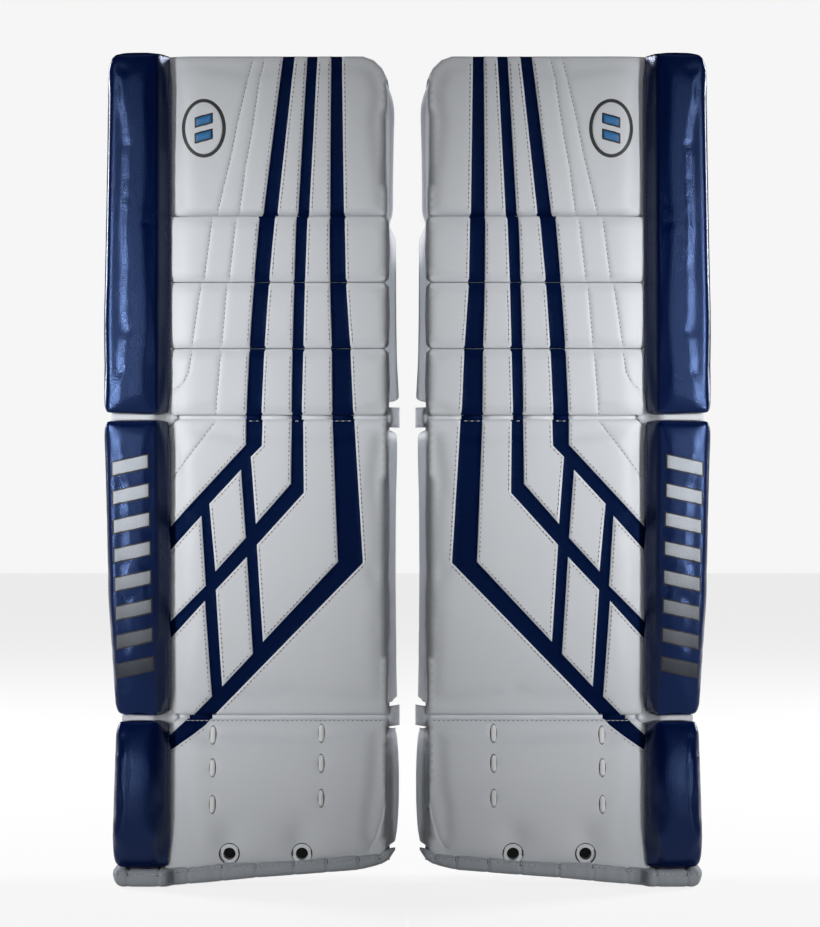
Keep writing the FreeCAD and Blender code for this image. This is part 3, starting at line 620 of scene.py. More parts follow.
def face_skin(name, domain, panels, seams, depth, dimples=(), holes=(), edge_sink=2.2, thickness=2.4):
    """The stitched leather over a section's front: raised white panels on navy leather.

    domain, panels are outlines in (u, z); seams are sewn lines of points; depth gives the padding's
    front; dimples are (u, z, radius, depth) and holes (u, z, radius).
    """
    domain = turned_left(domain)
    panels = [turned_left(p) for p in panels]
    points, chains = [], []

    def lay(ring, closed, chained):
        keep = inside(ring, domain)
        start = len(points)
        where = []
        for p, kept in zip(ring, keep):
            where.append(start + sum(w is not None for w in where) if kept else None)
            if kept:
                points.append(p)
        pairs = list(zip(where, where[1:] + (where[:1] if closed else [])))
        if chained:
            chains.extend((a, b) for a, b in pairs if a is not None and b is not None)

    rim = walked(domain, counts(domain, 4))
    points.extend(rim)
    chains.extend((k, (k + 1) % len(rim)) for k in range(len(rim)))
    border = edges_of(domain)
    for gap in (0.9, 1.9, 3.2):
        points.extend(walked(inset(domain, gap), counts(domain, 4)))
    panel_edges = [e for p in panels for e in edges_of(p)]
    for outline in panels:
        numbers = counts(outline, 3.8)
        for k, ring in enumerate(RINGS):
            lay(walked(inset(outline, ring), numbers), True, k == 0)
    seam_edges = [e for line in seams for e in zip(line, line[1:])]
    for a, b in seam_edges:
        length = math.dist(a, b)
        across = ((a[1] - b[1]) / length, (b[0] - a[0]) / length)
        number = max(2, round(length / 3.8))
        for off in (-1.8, -0.8, 0, 0.8, 1.8):
            lay([(a[0] + (b[0] - a[0]) * k / number + across[0] * off,
                  a[1] + (b[1] - a[1]) * k / number + across[1] * off)
                 for k in range(number + 1)], False, False)
    for u, z, radius, _ in dimples:
        for share in (0.25, 0.45, 0.7, 1):
            lay(oval(u, z, radius * share, radius * share, 20), True, False)
    for u, z, radius in holes:
        lay(oval(u, z, radius, radius, HOLE_SIDES), True, True)
    low = np.min(domain, axis=0)
    high = np.max(domain, axis=0)
    grid = [(low[0] + GRID * (i + 0.5 * (j % 2)), low[1] + GRID * 0.866 * j)
            for j in range(int((high[1] - low[1]) / GRID / 0.866) + 2)
            for i in range(int((high[0] - low[0]) / GRID) + 2)]
    grid = np.array(grid)
    white = np.any([inside(grid, p) for p in panels], axis=0)
    far = inside(grid, domain) & (distance(grid, border) > 5)
    far &= distance(grid, panel_edges) > np.where(white, 5.2, 1.6)
    if seam_edges:
        far &= distance(grid, seam_edges) > 3.2
    points.extend(map(tuple, grid[far]))

    flat = delaunay_2d_cdt([Vector(p) for p in points], chains, [], 0, 1e-4)
    flat_points = np.array([tuple(p) for p in flat[0]])
    triangles = np.array(flat[2])
    middles = flat_points[triangles].mean(axis=1)
    corners = flat_points[triangles]
    wide = np.abs(np.cross(corners[:, 1] - corners[:, 0], corners[:, 2] - corners[:, 0])) > 1e-3
    keep = inside(middles, inset(domain, 0.01)) & wide
    for u, z, radius in holes:
        keep &= np.hypot(middles[:, 0] - u, middles[:, 1] - z) > radius * 0.97
    triangles, middles = triangles[keep], middles[keep]
    used, compact = np.unique(triangles, return_inverse=True)
    triangles = compact.reshape(-1, 3)
    flat_points = flat_points[used]

    is_white = np.any([inside(flat_points, inset(p, -0.02)) for p in panels], axis=0)
    near = distance(flat_points, panel_edges)
    rise = np.where(is_white, np.interp(near, RINGS, RISE) * STEP_UP, 0)
    if seam_edges:
        rise -= 0.75 * np.exp(-(distance(flat_points, seam_edges) / 1.0) ** 2)
    for u, z, radius, deep in dimples:
        away = np.hypot(flat_points[:, 0] - u, flat_points[:, 1] - z) / radius
        rise -= deep * np.exp(-(away * 1.6) ** 2)
    rim_near = distance(flat_points, border)
    rise -= edge_sink * np.clip(1 - rim_near / 3.4, 0, 1) ** 1.6
    base = np.array([depth(u, z) for u, z in flat_points])
    front = np.column_stack([flat_points[:, 0], base - UNDER - rise, flat_points[:, 1]])
    colours = np.where(np.any([inside(middles, p) for p in panels], axis=0), 0, 1)
    return closed(name, front, base, thickness, triangles, (WHITE, NAVY), colours)


PATCH_GRID = 3.0
PATCH_ROOT = 0.8                # how deep a patch is rooted in what it lies on


def patch(name, outline, depth, height, material):
    """A small flat shape laid on a surface, its edge rounded down."""
    outline = turned_left(outline)
    numbers = counts(outline, 2.5)
    rings = [walked(inset(outline, r), numbers) for r in (0, 0.25, 0.7)]
    points = [p for ring in rings for p in ring]
    size = len(rings[0])
    low, high = np.min(outline, axis=0), np.max(outline, axis=0)
    grid = np.array([(u, z) for u in np.arange(low[0], high[0], PATCH_GRID)
                     for z in np.arange(low[1], high[1], PATCH_GRID)])
    edges = edges_of(outline)
    grid = grid[inside(grid, outline) & (distance(grid, edges) > 1.6)]
    points += [tuple(p) for p in grid]
    chains = [(k, (k + 1) % size) for k in range(size)]
    flat = delaunay_2d_cdt([Vector(p) for p in points], chains, [], 1, 1e-5)
    flat_points = np.array([tuple(p) for p in flat[0]])
    near = distance(flat_points, edges)
    rise = np.interp(near, (0, 0.25, 0.7), (-0.3, height * 0.75, height))
    base = np.array([depth(u, z) for u, z in flat_points])
    front = np.column_stack([flat_points[:, 0], base - rise, flat_points[:, 1]])
    return closed(name, front, base, PATCH_ROOT, flat[2], [material])


# ---- stitching ----------------------------------------------------------------------------------

PITCH = 4.4
THREAD_LENGTH = 3.0
THREAD_RADIUS = 0.42
NEEDLE_RADIUS = 0.72


def bead(start, end, radius, out):
    """A short rounded thread between two points, as points and faces."""
    axis = (end - start)
    length = axis.length
    axis.normalize()
    side = axis.cross(out).normalized()
    rings = ((0.0, 0.45), (0.14, 0.9), (0.5, 1.0), (0.86, 0.9), (1.0, 0.45))
    points, faces = [], []
    for share, swell_by in rings:
        centre = start + axis * length * share + out * radius * (0.5 - abs(share - 0.5)) * 0.8
        for k in range(6):
            turn = k * math.tau / 6
            points.append(centre + (side * math.cos(turn) + out * math.sin(turn) * 0.8)
                          * radius * swell_by)
    for ring in range(4):
        for k in range(6):
            low, after = ring * 6 + k, ring * 6 + (k + 1) % 6
            faces.append((low, after, after + 6, low + 6))
    faces.append(tuple(reversed(range(6))))
    faces.append(tuple(range(24, 30)))
    return points, faces


def stitches(name, lines, depth, thread=THREAD, hole_shade=NEEDLE_HOLE_SHADE, pitch=PITCH, lift=0.1,
             facing=-1):
    """Threads, with discs of painted shade in the needle holes, along lines of (u, z), on a surface
    facing forward or, at 1, back.
    """
    points, faces, indices = [], [], []
    out = Vector((0, facing, 0))

    def add(new_points, new_faces, index):
        start = len(points)
        points.extend(new_points)
        faces.extend(tuple(start + k for k in f) for f in new_faces)
        indices.extend([index] * len(new_faces))

    for line in lines:
        for a, b in zip(line, line[1:]):
            length = math.dist(a, b)
            number = max(1, round(length / pitch))
            along = ((b[0] - a[0]) / length, (b[1] - a[1]) / length)
            for k in range(number):
                middle = (k + 0.5) * length / number
                ends = [middle - THREAD_LENGTH / 2, middle + THREAD_LENGTH / 2]
                spots = [(a[0] + along[0] * s, a[1] + along[1] * s) for s in ends]
                tips = [place(u, depth(u, z) + facing * lift, z) for u, z in spots]
                add(*bead(tips[0], tips[1], THREAD_RADIUS * MM, out), 0)
                # Between threads, a small disc of painted shade stands in each needle hole.
                gap = middle + THREAD_LENGTH / 2 + (length / number - THREAD_LENGTH) / 2
                if gap < length:
                    u, z = a[0] + along[0] * gap, a[1] + along[1] * gap
                    centre = place(u, depth(u, z) + facing * 0.12, z)
                    ring = [centre + Vector((math.cos(t), 0, math.sin(t))) * NEEDLE_RADIUS * MM
                            for t in (j * math.tau / 6 for j in range(6))]
                    top = [centre + (p - centre) * 0.5 + out * 0.12 * MM for p in ring]
                    add(ring + top, [tuple((j, (j + 1) % 6, 6 + (j + 1) % 6, 6 + j))
                                     for j in range(6)] + [tuple(range(6, 12)),
                                                           tuple(reversed(range(6)))], 1)
    return piece(name, points, faces, [thread, hole_shade], indices)


def panel_seams(panels, domain):
    """Sewn lines just inside the panels' edges, as far as they lie inside the domain."""
    domain = turned_left(domain)
    fence = inset(domain, 2.5)
    lines = []
    for panel in panels:
        ring = inset(turned_left(panel), STITCH_IN)
        for a, b in edges_of(ring):
            number = max(1, int(math.dist(a, b) / 2))
            dots = [(a[0] + (b[0] - a[0]) * k / number, a[1] + (b[1] - a[1]) * k / number)
                    for k in range(number + 1)]
            kept = [p for p, yes in zip(dots, inside(dots, fence)) if yes]
            if len(kept) > 2:
                lines.append([kept[0], kept[-1]])
    return lines


# ---- the sections' own shapes -------------------------------------------------------------------

def board_ring(z, edge, width, front=0.0, start=55.0, back=BOARD_DEPTH):
    """A section through the board at a height: the face, the sloping inner side and the back."""
    beside_roll = [(u, front + hollow(u), z) for u in (start, 61, 67, 74, 84)]
    return beside_roll + [(edge - 2, front, z), (edge + 1.5, front + 4, z), (width, front + 30, z),
                          (width, back - 8, z), (width - 7, back, z), (start, back, z)]


def notch(z, level, deep, half):
    """A pinch in the side at a level."""
    return deep * max(0, 1 - abs(z - level) / half) ** 1.3


BOARD_SLOPE = ((0, 12, 58), (0, 2, 8.8))
ROLL_SLOPE = ((0, 70), (0, 9.7))
SLOPE_RUN = 40                  # how far from a flex line its slope still shifts a section


def bevel(rings, ends, slope):
    """Slope a section's ends away from its flex lines, further back more so, to let it bend.

    ends are (level, way), way being 1 where the section stands above the flex line and -1 below it.
    """
    def shifted(u, v, z):
        for level, way in ends:
            share = max(0, 1 - abs(z - level) / SLOPE_RUN)
            z += way * share * float(np.interp(v, *slope))
        return u, v, z
    return [[shifted(*point) for point in ring] for ring in rings]


THIGH_TOP = 781                 # where the padding's rounded corners would end


def thigh_body():
    levels = [442.6] + list(range(448, 740, 8)) + [742, 749, 756, 762, 767, 771, 775, 778, 780]
    rings = []
    for z in levels:
        corner = rounding(z, 0, THIGH_TOP, 26)
        shoulder = rounding(z, 0, THIGH_TOP, 48)
        width = (PAD_WIDTH if z < 618 else NARROW_EDGE) - notch(z, 621, 7, 9) - notch(z, 442, 2, 5)
        edge = FACE_EDGE - corner
        front = 0 if z > KNEE_SEAM - 2 else 11
        rings.append(board_ring(z, edge, max(width - shoulder, edge + 3), front))
    return stuffed("thigh_body", bevel(rings, [(442.6, 1)], BOARD_SLOPE), [WHITE], voxel=5, cap=4)


def knee_roll_bodies():
    bodies = []
    for low, high in zip(SEAMS, SEAMS[1:]):
        rings = []
        for u in [55, 60, 66, 73] + list(range(82, 262, 12)) + [262, 266, 269]:
            drop = 0.2 if u < 262 else (u - 260) * 0.5
            front = hollow(u) - 3
            slope = 1.7 if low == SEAMS[0] else 0
            rings.append([(u, front, low + drop), (u, 13, low + drop + slope), (u, 13, high - drop),
                          (u, front, high - drop)])
        bodies.append(stuffed("roll_body", rings, [WHITE], voxel=3.4, cap=2, rounds=1))
    return bodies


def shin_body():
    rings = []
    for z in [159.8, 163] + list(range(168, 432, 8)) + [434, 437.3]:
        width = NARROW_EDGE + 2.5 - notch(z, 437, 2, 5) - notch(z, 158, 2, 5)
        rings.append(board_ring(z, FACE_EDGE, width, ankle(z)))
    shape = bevel(rings, [(159.8, 1), (437.3, -1)], BOARD_SLOPE)
    return stuffed("shin_body", shape, [WHITE], voxel=5, cap=4)


def toe_edge(u):
    """The height of the toe's lower edge."""
    return float(np.interp(u, (58, 70, 104, 143, 190, 240, 260, 268, 276),
                           (0, 0, 2.8, 6.6, 10, 14, 19, 23.5, 33)))


def binding_top(u):
    return float(np.interp(u, (10, 62, 81, 110, 146, 178, 212, 259, 276),
                           (16, 16, 18, 21.6, 21.6, 23.5, 26.3, 30, 38)))


def boot_body():
    """The boot: a board down to the toe, and a thin flap below it."""
    rings = []
    for u in [55, 61, 67, 74, 84] + list(range(96, 260, 12)) + [262, 268, 273, 277, 279]:
        low = max(toe_edge(u) + 5, 8 if u < 262 else 8 + (u - 262) * 1.6)
        side = max(0, (u - 262) / 17)
        front = side ** 1.4 * 24 + hollow(u)
        flap = max(11, front + 14)
        back = BOARD_DEPTH - side * 6
        rings.append([(u, front + ankle(155), 154.4 - side * 3), (u, front + ankle(138), 138),
                      (u, front + ankle(122), 122), (u, front, 100), (u, front, TOE_LEVEL),
                      (u, front, low), (u, flap, low), (u, flap, TOE_LEVEL - 2),
                      (u, back, TOE_LEVEL), (u, back, 100), (u, back, 145 - side * 3),
                      (u, max(24, front + 9), 147.5 - side * 3)])
    return stuffed("boot_body", rings, [WHITE], voxel=4.6, cap=3.6)


TOE_FACET = 13                  # how far the boot roll's front slopes back below the toe level
WALL_TOP = 49                   # where the roll's flat front ends
WALL_FOOT = 62.4                # where its slanted inner wall is sewn down to the face


def roll_ring(z, outer, front=ROLL_FRONT, back=ROLL_BACK):
    """A section through the outer roll, its inner wall slanting down to its foot on the face."""
    return [(outer + 4, front, z), (outer + 25, front - 0.4, z), (WALL_TOP, front, z),
            (WALL_TOP + 3.4, front + 2.4, z), (WALL_FOOT, -0.5 + ankle(z), z),
            (WALL_FOOT, 2.5 + ankle(z), z), (57.6, 4 + ankle(z), z),
            (57.8, back, z), (outer + 4, back, z), (outer, back - 6, z), (outer, front + 4, z)]


def outer_roll_bodies():
    """The outer roll's three lengths."""
    foot = 16

    def outer(z, heights, widths):
        return float(np.interp(z, heights, widths))
    thigh = [roll_ring(z, outer(z, (441, 446, 530, 768, 775, 780, 783), (3, 1.2, 0, 3.8, 5, 8, 13)))
             for z in [440.9, 445] + list(range(454, 764, 10)) + [768, 773, 777, 780, 782.4]]
    shin = [roll_ring(z, outer(z, (158, 164, 268, 432, 438), (14, 11.6, 4.7, 1.2, 3)),
                      ROLL_FRONT + ankle(z))
            for z in [158.2, 163] + list(range(172, 430, 10)) + [433, 438.1]]
    boot = [roll_ring(z, outer(z, (foot, 20, 26, 48, 152, 156), (14, 11, 9.8, 9.5, 12, 14)),
                      ROLL_FRONT + ankle(z) + TOE_FACET * max(0, TOE_LEVEL - z) / (TOE_LEVEL - foot))
            for z in [16.6, 20, 26, 34, 42, 47, 49, 54] + list(range(64, 150, 10)) + [155.9]]
    lengths = (("thigh", thigh, [(440.9, 1)]),
               ("shin", shin, [(158.2, 1), (438.1, -1)]),
               ("boot", boot, [(155.9, -1)]))
    return [stuffed(f"roll_{name}", bevel(rings, ends, ROLL_SLOPE), [ROLL_NAVY], voxel=3.6, cap=1.3,
                    rounds=1, finer=1)
            for name, rings, ends in lengths]


# ---- the face's pattern -------------------------------------------------------------------------

def stripe_edges(z, lower=False):
    """Where the six edges of the three stripes lie at a height."""
    heights = (440, 503, 566, 629) if lower else (629, 779)
    table = (((147.8, 150.6, 154.8, 160.5), (133.7, 136.5, 140.7, 145.9)),
             ((185.8, 187.2, 188.7, 191.0), (176.1, 177.0, 178.6, 180.5)),
             ((234.3, 231.5, 227.2, 226.0), (214.5, 214.0, 212.2, 211.8)))
    upper = (((162.3, 178.3), (149.2, 167.5)), ((192.4, 200.0), (182.0, 190.5)),
             ((225.3, 223.2), (212.2, 213.0)))
    edges = []
    for right, left in (table if lower else upper):
        edges += [float(np.interp(z, heights, left)), float(np.interp(z, heights, right))]
    return edges


def white_between(low, high, lower):
    """The white panels between the stripes of a section."""
    past = 8
    bottom, top = stripe_edges(low, lower), stripe_edges(high, lower)
    walls = [(30, 30)] + list(zip(bottom, top)) + [(300, 300)]
    panels = []
    for k in range(0, len(walls), 2):
        (a, b), (c, d) = walls[k], walls[k + 1]
        run = high - low
        grow = past / run
        panels.append([(a + (a - b) * grow, low - past), (c + (c - d) * grow, low - past),
                       (d + (d - c) * grow, high + past), (b + (b - a) * grow, high + past)])
    return panels


SHIN_TOP = 450
SHIN_PANELS = [
    [(30, SHIN_TOP), (133.2, SHIN_TOP), (133.2, 413.6), (58, 332.4), (30, 302.2)],
    [(149.2, SHIN_TOP), (148.2, 412.7), (137.9, 402.3), (142.6, 339.3), (175.5, 376.9),
     (176.4, SHIN_TOP)],
    [(186.8, SHIN_TOP), (187.7, 368.5), (143.5, 319.6), (149.2, 228.4), (219.7, 303.6),
     (214, SHIN_TOP)],
    [(128.5, 390.1), (98.9, 358.1), (104.6, 294.7), (133.2, 326.2)],
    [(91.4, 346.9), (95.6, 281.1), (58, 243.4), (30, 215.3), (30, 280.5), (58, 310.1)],
    [(134.1, 308.3), (105, 277.3), (110.6, 186.1), (139.8, 217.1)],
    [(94.7, 267), (100.9, 176.7), (74, 149), (30, 149), (30, 199.3), (58, 226.8)],
    [(234.3, SHIN_TOP), (243.2, 302.7), (92, 147.5), (300, 147.5), (300, SHIN_TOP)],
]
BOOT_PANELS = [
    [(107.7, 165), (101, 157), (94.7, 149.5), (83.4, 141), (67.4, 129.7), (50, 119), (50, -20),
     (300, -20), (300, 165)],
    [(50, 165), (88.2, 165), (79.6, 157), (58, 137), (50, 129.6)],
]
THIGH_LINES = [
    [(138.8, 778), (134.1, 758.6), (124.7, 717), (119.1, 687), (111.6, 656), (105.9, 631)],
    [(150.1, 778), (145.4, 758.6), (138.8, 711.6), (132.3, 675.9), (126.6, 631)],
]
KNEE_LINES = [
    [[(82.4, 502), (79.6, 482), (74, 471), (65.5, 464.4)], [(109.7, 502), (105, 443)]],
    [[(90.9, 564), (82.4, 506)], [(115.3, 564), (110.6, 506)]],
    [[(101.2, 627), (93.7, 568)], [(123.8, 627), (117.2, 568)]],
]
SHIN_LINES = [[(105, 436), (62.7, 380.7)]]
BOOT_CREASE = [(266, 150), (266, 110), (265, 85), (261, 62), (255, 44), (250, 36)]
GROMMETS = ((118, 30), (186, 30))
LACES = [(102, (140.5, 110.3, 76.2)), (204, (142, 114.5, 82))]


def section_face(name, body, domain, panels, lines, deepest=2.0, **more):
    """Skin and stitching of one section; returns them with the skin's depth function."""
    paint_front(body, panels)
    skin = face_skin(f"{name}_skin", domain, panels, lines, front_of(body, deepest), **more)
    depth = front_of(skin)
    return skin, depth, panel_seams(panels, domain) + lines


def paint(body, material, chosen):
    """Give a material to the faces that chosen picks, from u, v and z of their centres and normals."""
    polygons = body.data.polygons
    body.data.materials.append(material)
    centres, facing = np.zeros((2, len(polygons) * 3), np.float32)
    polygons.foreach_get("center", centres)
    polygons.foreach_get("normal", facing)
    picked = chosen(*local(centres.reshape(-1, 3)).T, *facing.reshape(-1, 3).T)
    for k in np.flatnonzero(picked):
        polygons[int(k)].material_index = len(body.data.materials) - 1


def paint_front(body, panels, limit=14):
    """Where the casing shows between two sections, the stripes run on over it in navy."""
    foot = min(z for panel in panels for _, z in panel)

    def on_stripe(u, v, z, across, back, up):
        white = np.any([inside(np.column_stack([u, z]), panel) for panel in panels], axis=0)
        return (v < limit) & ~white & (z >= foot) & (back < 0.5)
    paint(body, NAVY, on_stripe)


def paint_side_shade(body):
    """The sloping inner side gets the darker copy of the white leather, as painted shade."""
    paint(body, SIDE_SHADE, lambda u, v, z, across, back, up: (u > FACE_EDGE - 3) & (v > 4) & (across > 0.5))


def paint_back(body, limit=46):
    """What faces backwards, or into a flex line behind the face, is covered in liner fabric."""
    def behind(u, v, z, across, back, up):
        into_break = (v > 15) & (abs(up) > 0.6) & (z < KNEE_SEAM)
        return into_break | ((v > limit) & (back > 0.55))
    paint(body, LINER, behind)


def finish_section(name, body, skin, threads, section, nodes):
    """Join a section's padding and leather, and hand them over with their stitching."""
    hand_over(merge(name, [body, skin]), f"{name}_padding", section, nodes)
    hand_over(threads, f"{name}_stitching", section, ())


def make_thigh():
    body = thigh_body()
    domain = [(57, 629.4), (268, 629.4), (268.5, 700), (268, 750), (266, 760), (261, 769.5), (253, 777),
              (243, 780.6), (57, 780.6)]
    panels = white_between(KNEE_SEAM, FACE_TOP, False)
    skin, depth, lines = section_face("thigh", body, domain, panels, THIGH_LINES)
    badge(depth)
    paint_side_shade(body)
    paint_back(body)
    finish_section("thigh", body, skin, stitches("thigh_stitches", lines, depth), "thigh",
                   ("thigh_cover", "thigh_core", "thigh_liner"))


def badge(depth):
    """A generic badge: an upright oval ring with two blue bars, slanted like the stripes."""
    centre_u, centre_z, half_wide, half_high, rim = 93, 712, 21, 28, 3.2
    half_bar, half_slant = 9, 2.5
    layers = [("badge_rim", oval(centre_u, centre_z, half_wide, half_high, 40), 0.35, BLACK),
              ("badge_field", oval(centre_u, centre_z, half_wide - rim, half_high - rim, 40), 0.6, WHITE)]
    for k, (low, high) in enumerate(((-13, -2), (2, 13))):
        bar = [(centre_u + way * half_bar, centre_z + level + way * half_slant)
               for way, level in ((-1, low), (1, low), (1, high), (-1, high))]
        layers.append((f"badge_bar_edge_{k}", bar, 0.8, BLACK))
        layers.append((f"badge_bar_{k}", inset(turned_left(bar), 1.5), 1.0, BLUE))
    parts = [patch(name, outline, depth, height, material)
             for name, outline, height, material in layers]
    hand_over(merge("badge", parts), "thigh_badge", "thigh", ())


def make_knee():
    names = ("lower", "middle", "upper")
    for body, name, low, high, sewn in zip(knee_roll_bodies(), names, SEAMS, SEAMS[1:], KNEE_LINES):
        bottom = low - (0.1 if name == "lower" else -0.3)
        domain = [(57, bottom), (264, bottom), (267.5, low + 4), (268.5, (low + high) / 2),
                  (267.5, high - 4), (264, high - 0.3), (57, high - 0.3)]
        panels = white_between(low, high, True)
        skin, depth, seams = section_face(f"knee_{name}", body, domain, panels, sewn, deepest=-1.5,
                                          edge_sink=1.9, thickness=3)
        finish_section(f"knee_roll_{name}", body, skin, stitches(f"knee_{name}_threads", seams, depth),
                       "thigh", (f"knee_roll_{name}",))


def make_shin():
    body = shin_body()
    domain = [(57, 158.9), (268, 158.9), (268.5, 300), (268, 437.8), (57, 437.8)]
    skin, depth, lines = section_face("shin", body, domain, SHIN_PANELS, SHIN_LINES)
    paint_side_shade(body)
    paint_back(body)
    level = KNEE_BREAK - 3.5
    edges = stripe_edges(level, True)
    across = [[(a + 1, level), (b - 1, level)] for a, b in zip(edges[::2], edges[1::2])]
    threads = merge("shin_stitches", [stitches("seams", lines, depth),
                                      stitches("dashes", across, depth, pitch=5.2, lift=0.35)])
    finish_section("shin", body, skin, threads, "shin", ("shin_cover", "shin_core", "shin_liner"))


def pucker(u, z):
    """How far the leather is drawn in above the grommets."""
    return sum(4.5 * np.exp(-(np.hypot(u - at_u, z - at_z - 16) / 15) ** 2) for at_u, at_z in GROMMETS)


def press_in(body):
    """Draw the toe's padding in with the leather."""
    points = local(coordinates(body))
    points[:, 1] += np.where(points[:, 1] < 20, pucker(points[:, 0], points[:, 2]), 0)
    move_to(body, world(points))


def drill(body, places, radius):
    """Cut the grommets' holes through the toe flap."""
    for u, z in places:
        rings = [[(a, v, b) for a, b in oval(u, z, radius, radius, HOLE_SIDES)] for v in (-AWAY, 30)]
        tool = loft("drill", rings, [WHITE])
        cut = body.modifiers.new("drill", "BOOLEAN")
        cut.operation = "DIFFERENCE"
        cut.solver = "EXACT"
        cut.object = tool
        bake(body)
        bpy.data.objects.remove(tool)


def make_boot():
    body = boot_body()
    domain = [(57, 14)] + [(u, binding_top(u) - 3) for u in (81, 110, 146, 178, 212, 259)]
    domain += [(268, 36), (269, 60), (269, 110), (267.5, 155.3), (57, 155.3)]
    dimples = [(u, z, 9, 1.5) for u, levels in LACES for z in levels]
    holes = [(u, z, 7.6) for u, z in GROMMETS]
    paint_front(body, BOOT_PANELS)
    smooth_front = front_of(body, 2.0)
    press_in(body)
    drill(body, GROMMETS, 7.2)
    skin = face_skin("boot_skin", domain, BOOT_PANELS, [BOOT_CREASE],
                     lambda u, z: smooth_front(u, z) + pucker(u, z), dimples=dimples, holes=holes)
    depth = front_of(skin)
    by_stripe = [(57, 100), (104, 100), (104, 154), (57, 154)]
    lines = [line for line in panel_seams(BOOT_PANELS[:1], by_stripe)
             if abs(line[0][1] - line[-1][1]) > 1]
    lines += [[(76, BOOT_BREAK - 3.4), (FACE_EDGE - 4, BOOT_BREAK - 3.4)]]
    paint_side_shade(body)
    paint_back(body)
    finish_section("boot", body, skin, stitches("boot_stitches", lines, depth), "boot",
                   ("boot_cover", "boot_core"))
    make_laces(depth)
    make_grommet_shade(depth)


def make_grommet_shade(depth):
    """A dark ring of painted shade round each grommet's flange, where it presses into the leather."""
    points, faces = [], []
    sides, flange = 32, 9.9
    for u, z in GROMMETS:
        start = len(points)
        for radius, lift in ((8.6, 0.2), (flange, 0.2), (10.1, -0.6), (8.4, -0.6)):
            points += [place(a, depth(*edge) - lift, b) for (a, b), edge in
                       zip(oval(u, z, radius, radius, sides), oval(u, z, flange, flange, sides))]
        for ring in range(4):
            low, high = start + ring * sides, start + (ring + 1) % 4 * sides
            faces += [(low + k, low + (k + 1) % sides, high + (k + 1) % sides, high + k)
                      for k in range(sides)]
    shade = piece("grommet_shade", points, faces, [SHADE_AND_DARK_THREAD])
    hand_over(shade, "grommet_shade", "boot", ())


def make_laces(depth):
    """The boot laces where they show: short flat loops between two slits."""
    points, faces = [], []
    for u, levels in LACES:
        for z in levels:
            start = len(points)
            rows, half = 13, 8.0
            for j in range(rows):
                share = j / (rows - 1) * 2 - 1
                arch = 1.9 * math.sqrt(max(0, 1 - share ** 4)) - 0.7
                width = 2.6 * math.sqrt(max(0.08, 1 - abs(share) ** 5))
                base = depth(u, z + share * half)
                for k in range(8):
                    turn = k * math.tau / 8
                    points.append(place(u + width * math.cos(turn),
                                        base - arch - 0.9 * math.sin(turn) - 0.3, z + share * half))
            for j in range(rows - 1):
                for k in range(8):
                    low, after = start + j * 8 + k, start + j * 8 + (k + 1) % 8
                    faces.append((low, low + 8, after + 8, after))
            faces.append(tuple(start + k for k in range(8)))
            faces.append(tuple(start + (rows - 1) * 8 + k for k in reversed(range(8))))
    laces = piece("laces", points, faces, [LACE])
    hand_over(laces, "boot_lace_loops", "boot", ("boot_laces",))
    # A dark oval of painted shadow behind each loop.
    rims = [patch("lace_painted_shadow", oval(u, z, 3.5, 9.1, 24), depth, 0.12, SHADE_AND_DARK_THREAD)
            for u, levels in LACES for z in levels]
    hand_over(merge("lace_painted_shadows", rims), "boot_lace_shade", "boot", ())


def silver_marks(depth):
    """Plain marks down the shin roll: a row of equal slanted silver bars with dark outlines."""
    parts = []
    low, pitch, tall, slant, wide = 194, 27, 15, 8, 36
    for k in range(8):
        z = low + k * pitch
        left = 12.5 - 4.5 * k / 7
        bar = [(left, z), (left + wide, z + slant), (left + wide, z + slant + tall), (left, z + tall)]
        parts.append(patch(f"mark_edge_{k}", bar, depth, 0.25, BLACK))
        parts.append(patch(f"mark_{k}", inset(turned_left(bar), 1.3), depth, 0.45, FOIL))
    hand_over(merge("marks", parts), "roll_marks", "shin", ())


def make_rolls():
    thigh, shin, boot = outer_roll_bodies()
    silver_marks(front_of(shin))
    for body, name, low, high in ((thigh, "thigh", 445, 778), (shin, "shin", 162, 434),
                                  (boot, "boot", 52, 152)):
        foot = [[(WALL_FOOT - 2.2, low), (WALL_FOOT - 2.2, high)]]
        threads = stitches(f"roll_{name}_threads", foot, front_of(body), NAVY_THREAD, HOLE_SHADE_DARK)
        hand_over(threads, f"outer_roll_{name}_stitching", name, ())
        hand_over(body, f"outer_roll_{name}_padding", name, (f"outer_roll_{name}",))


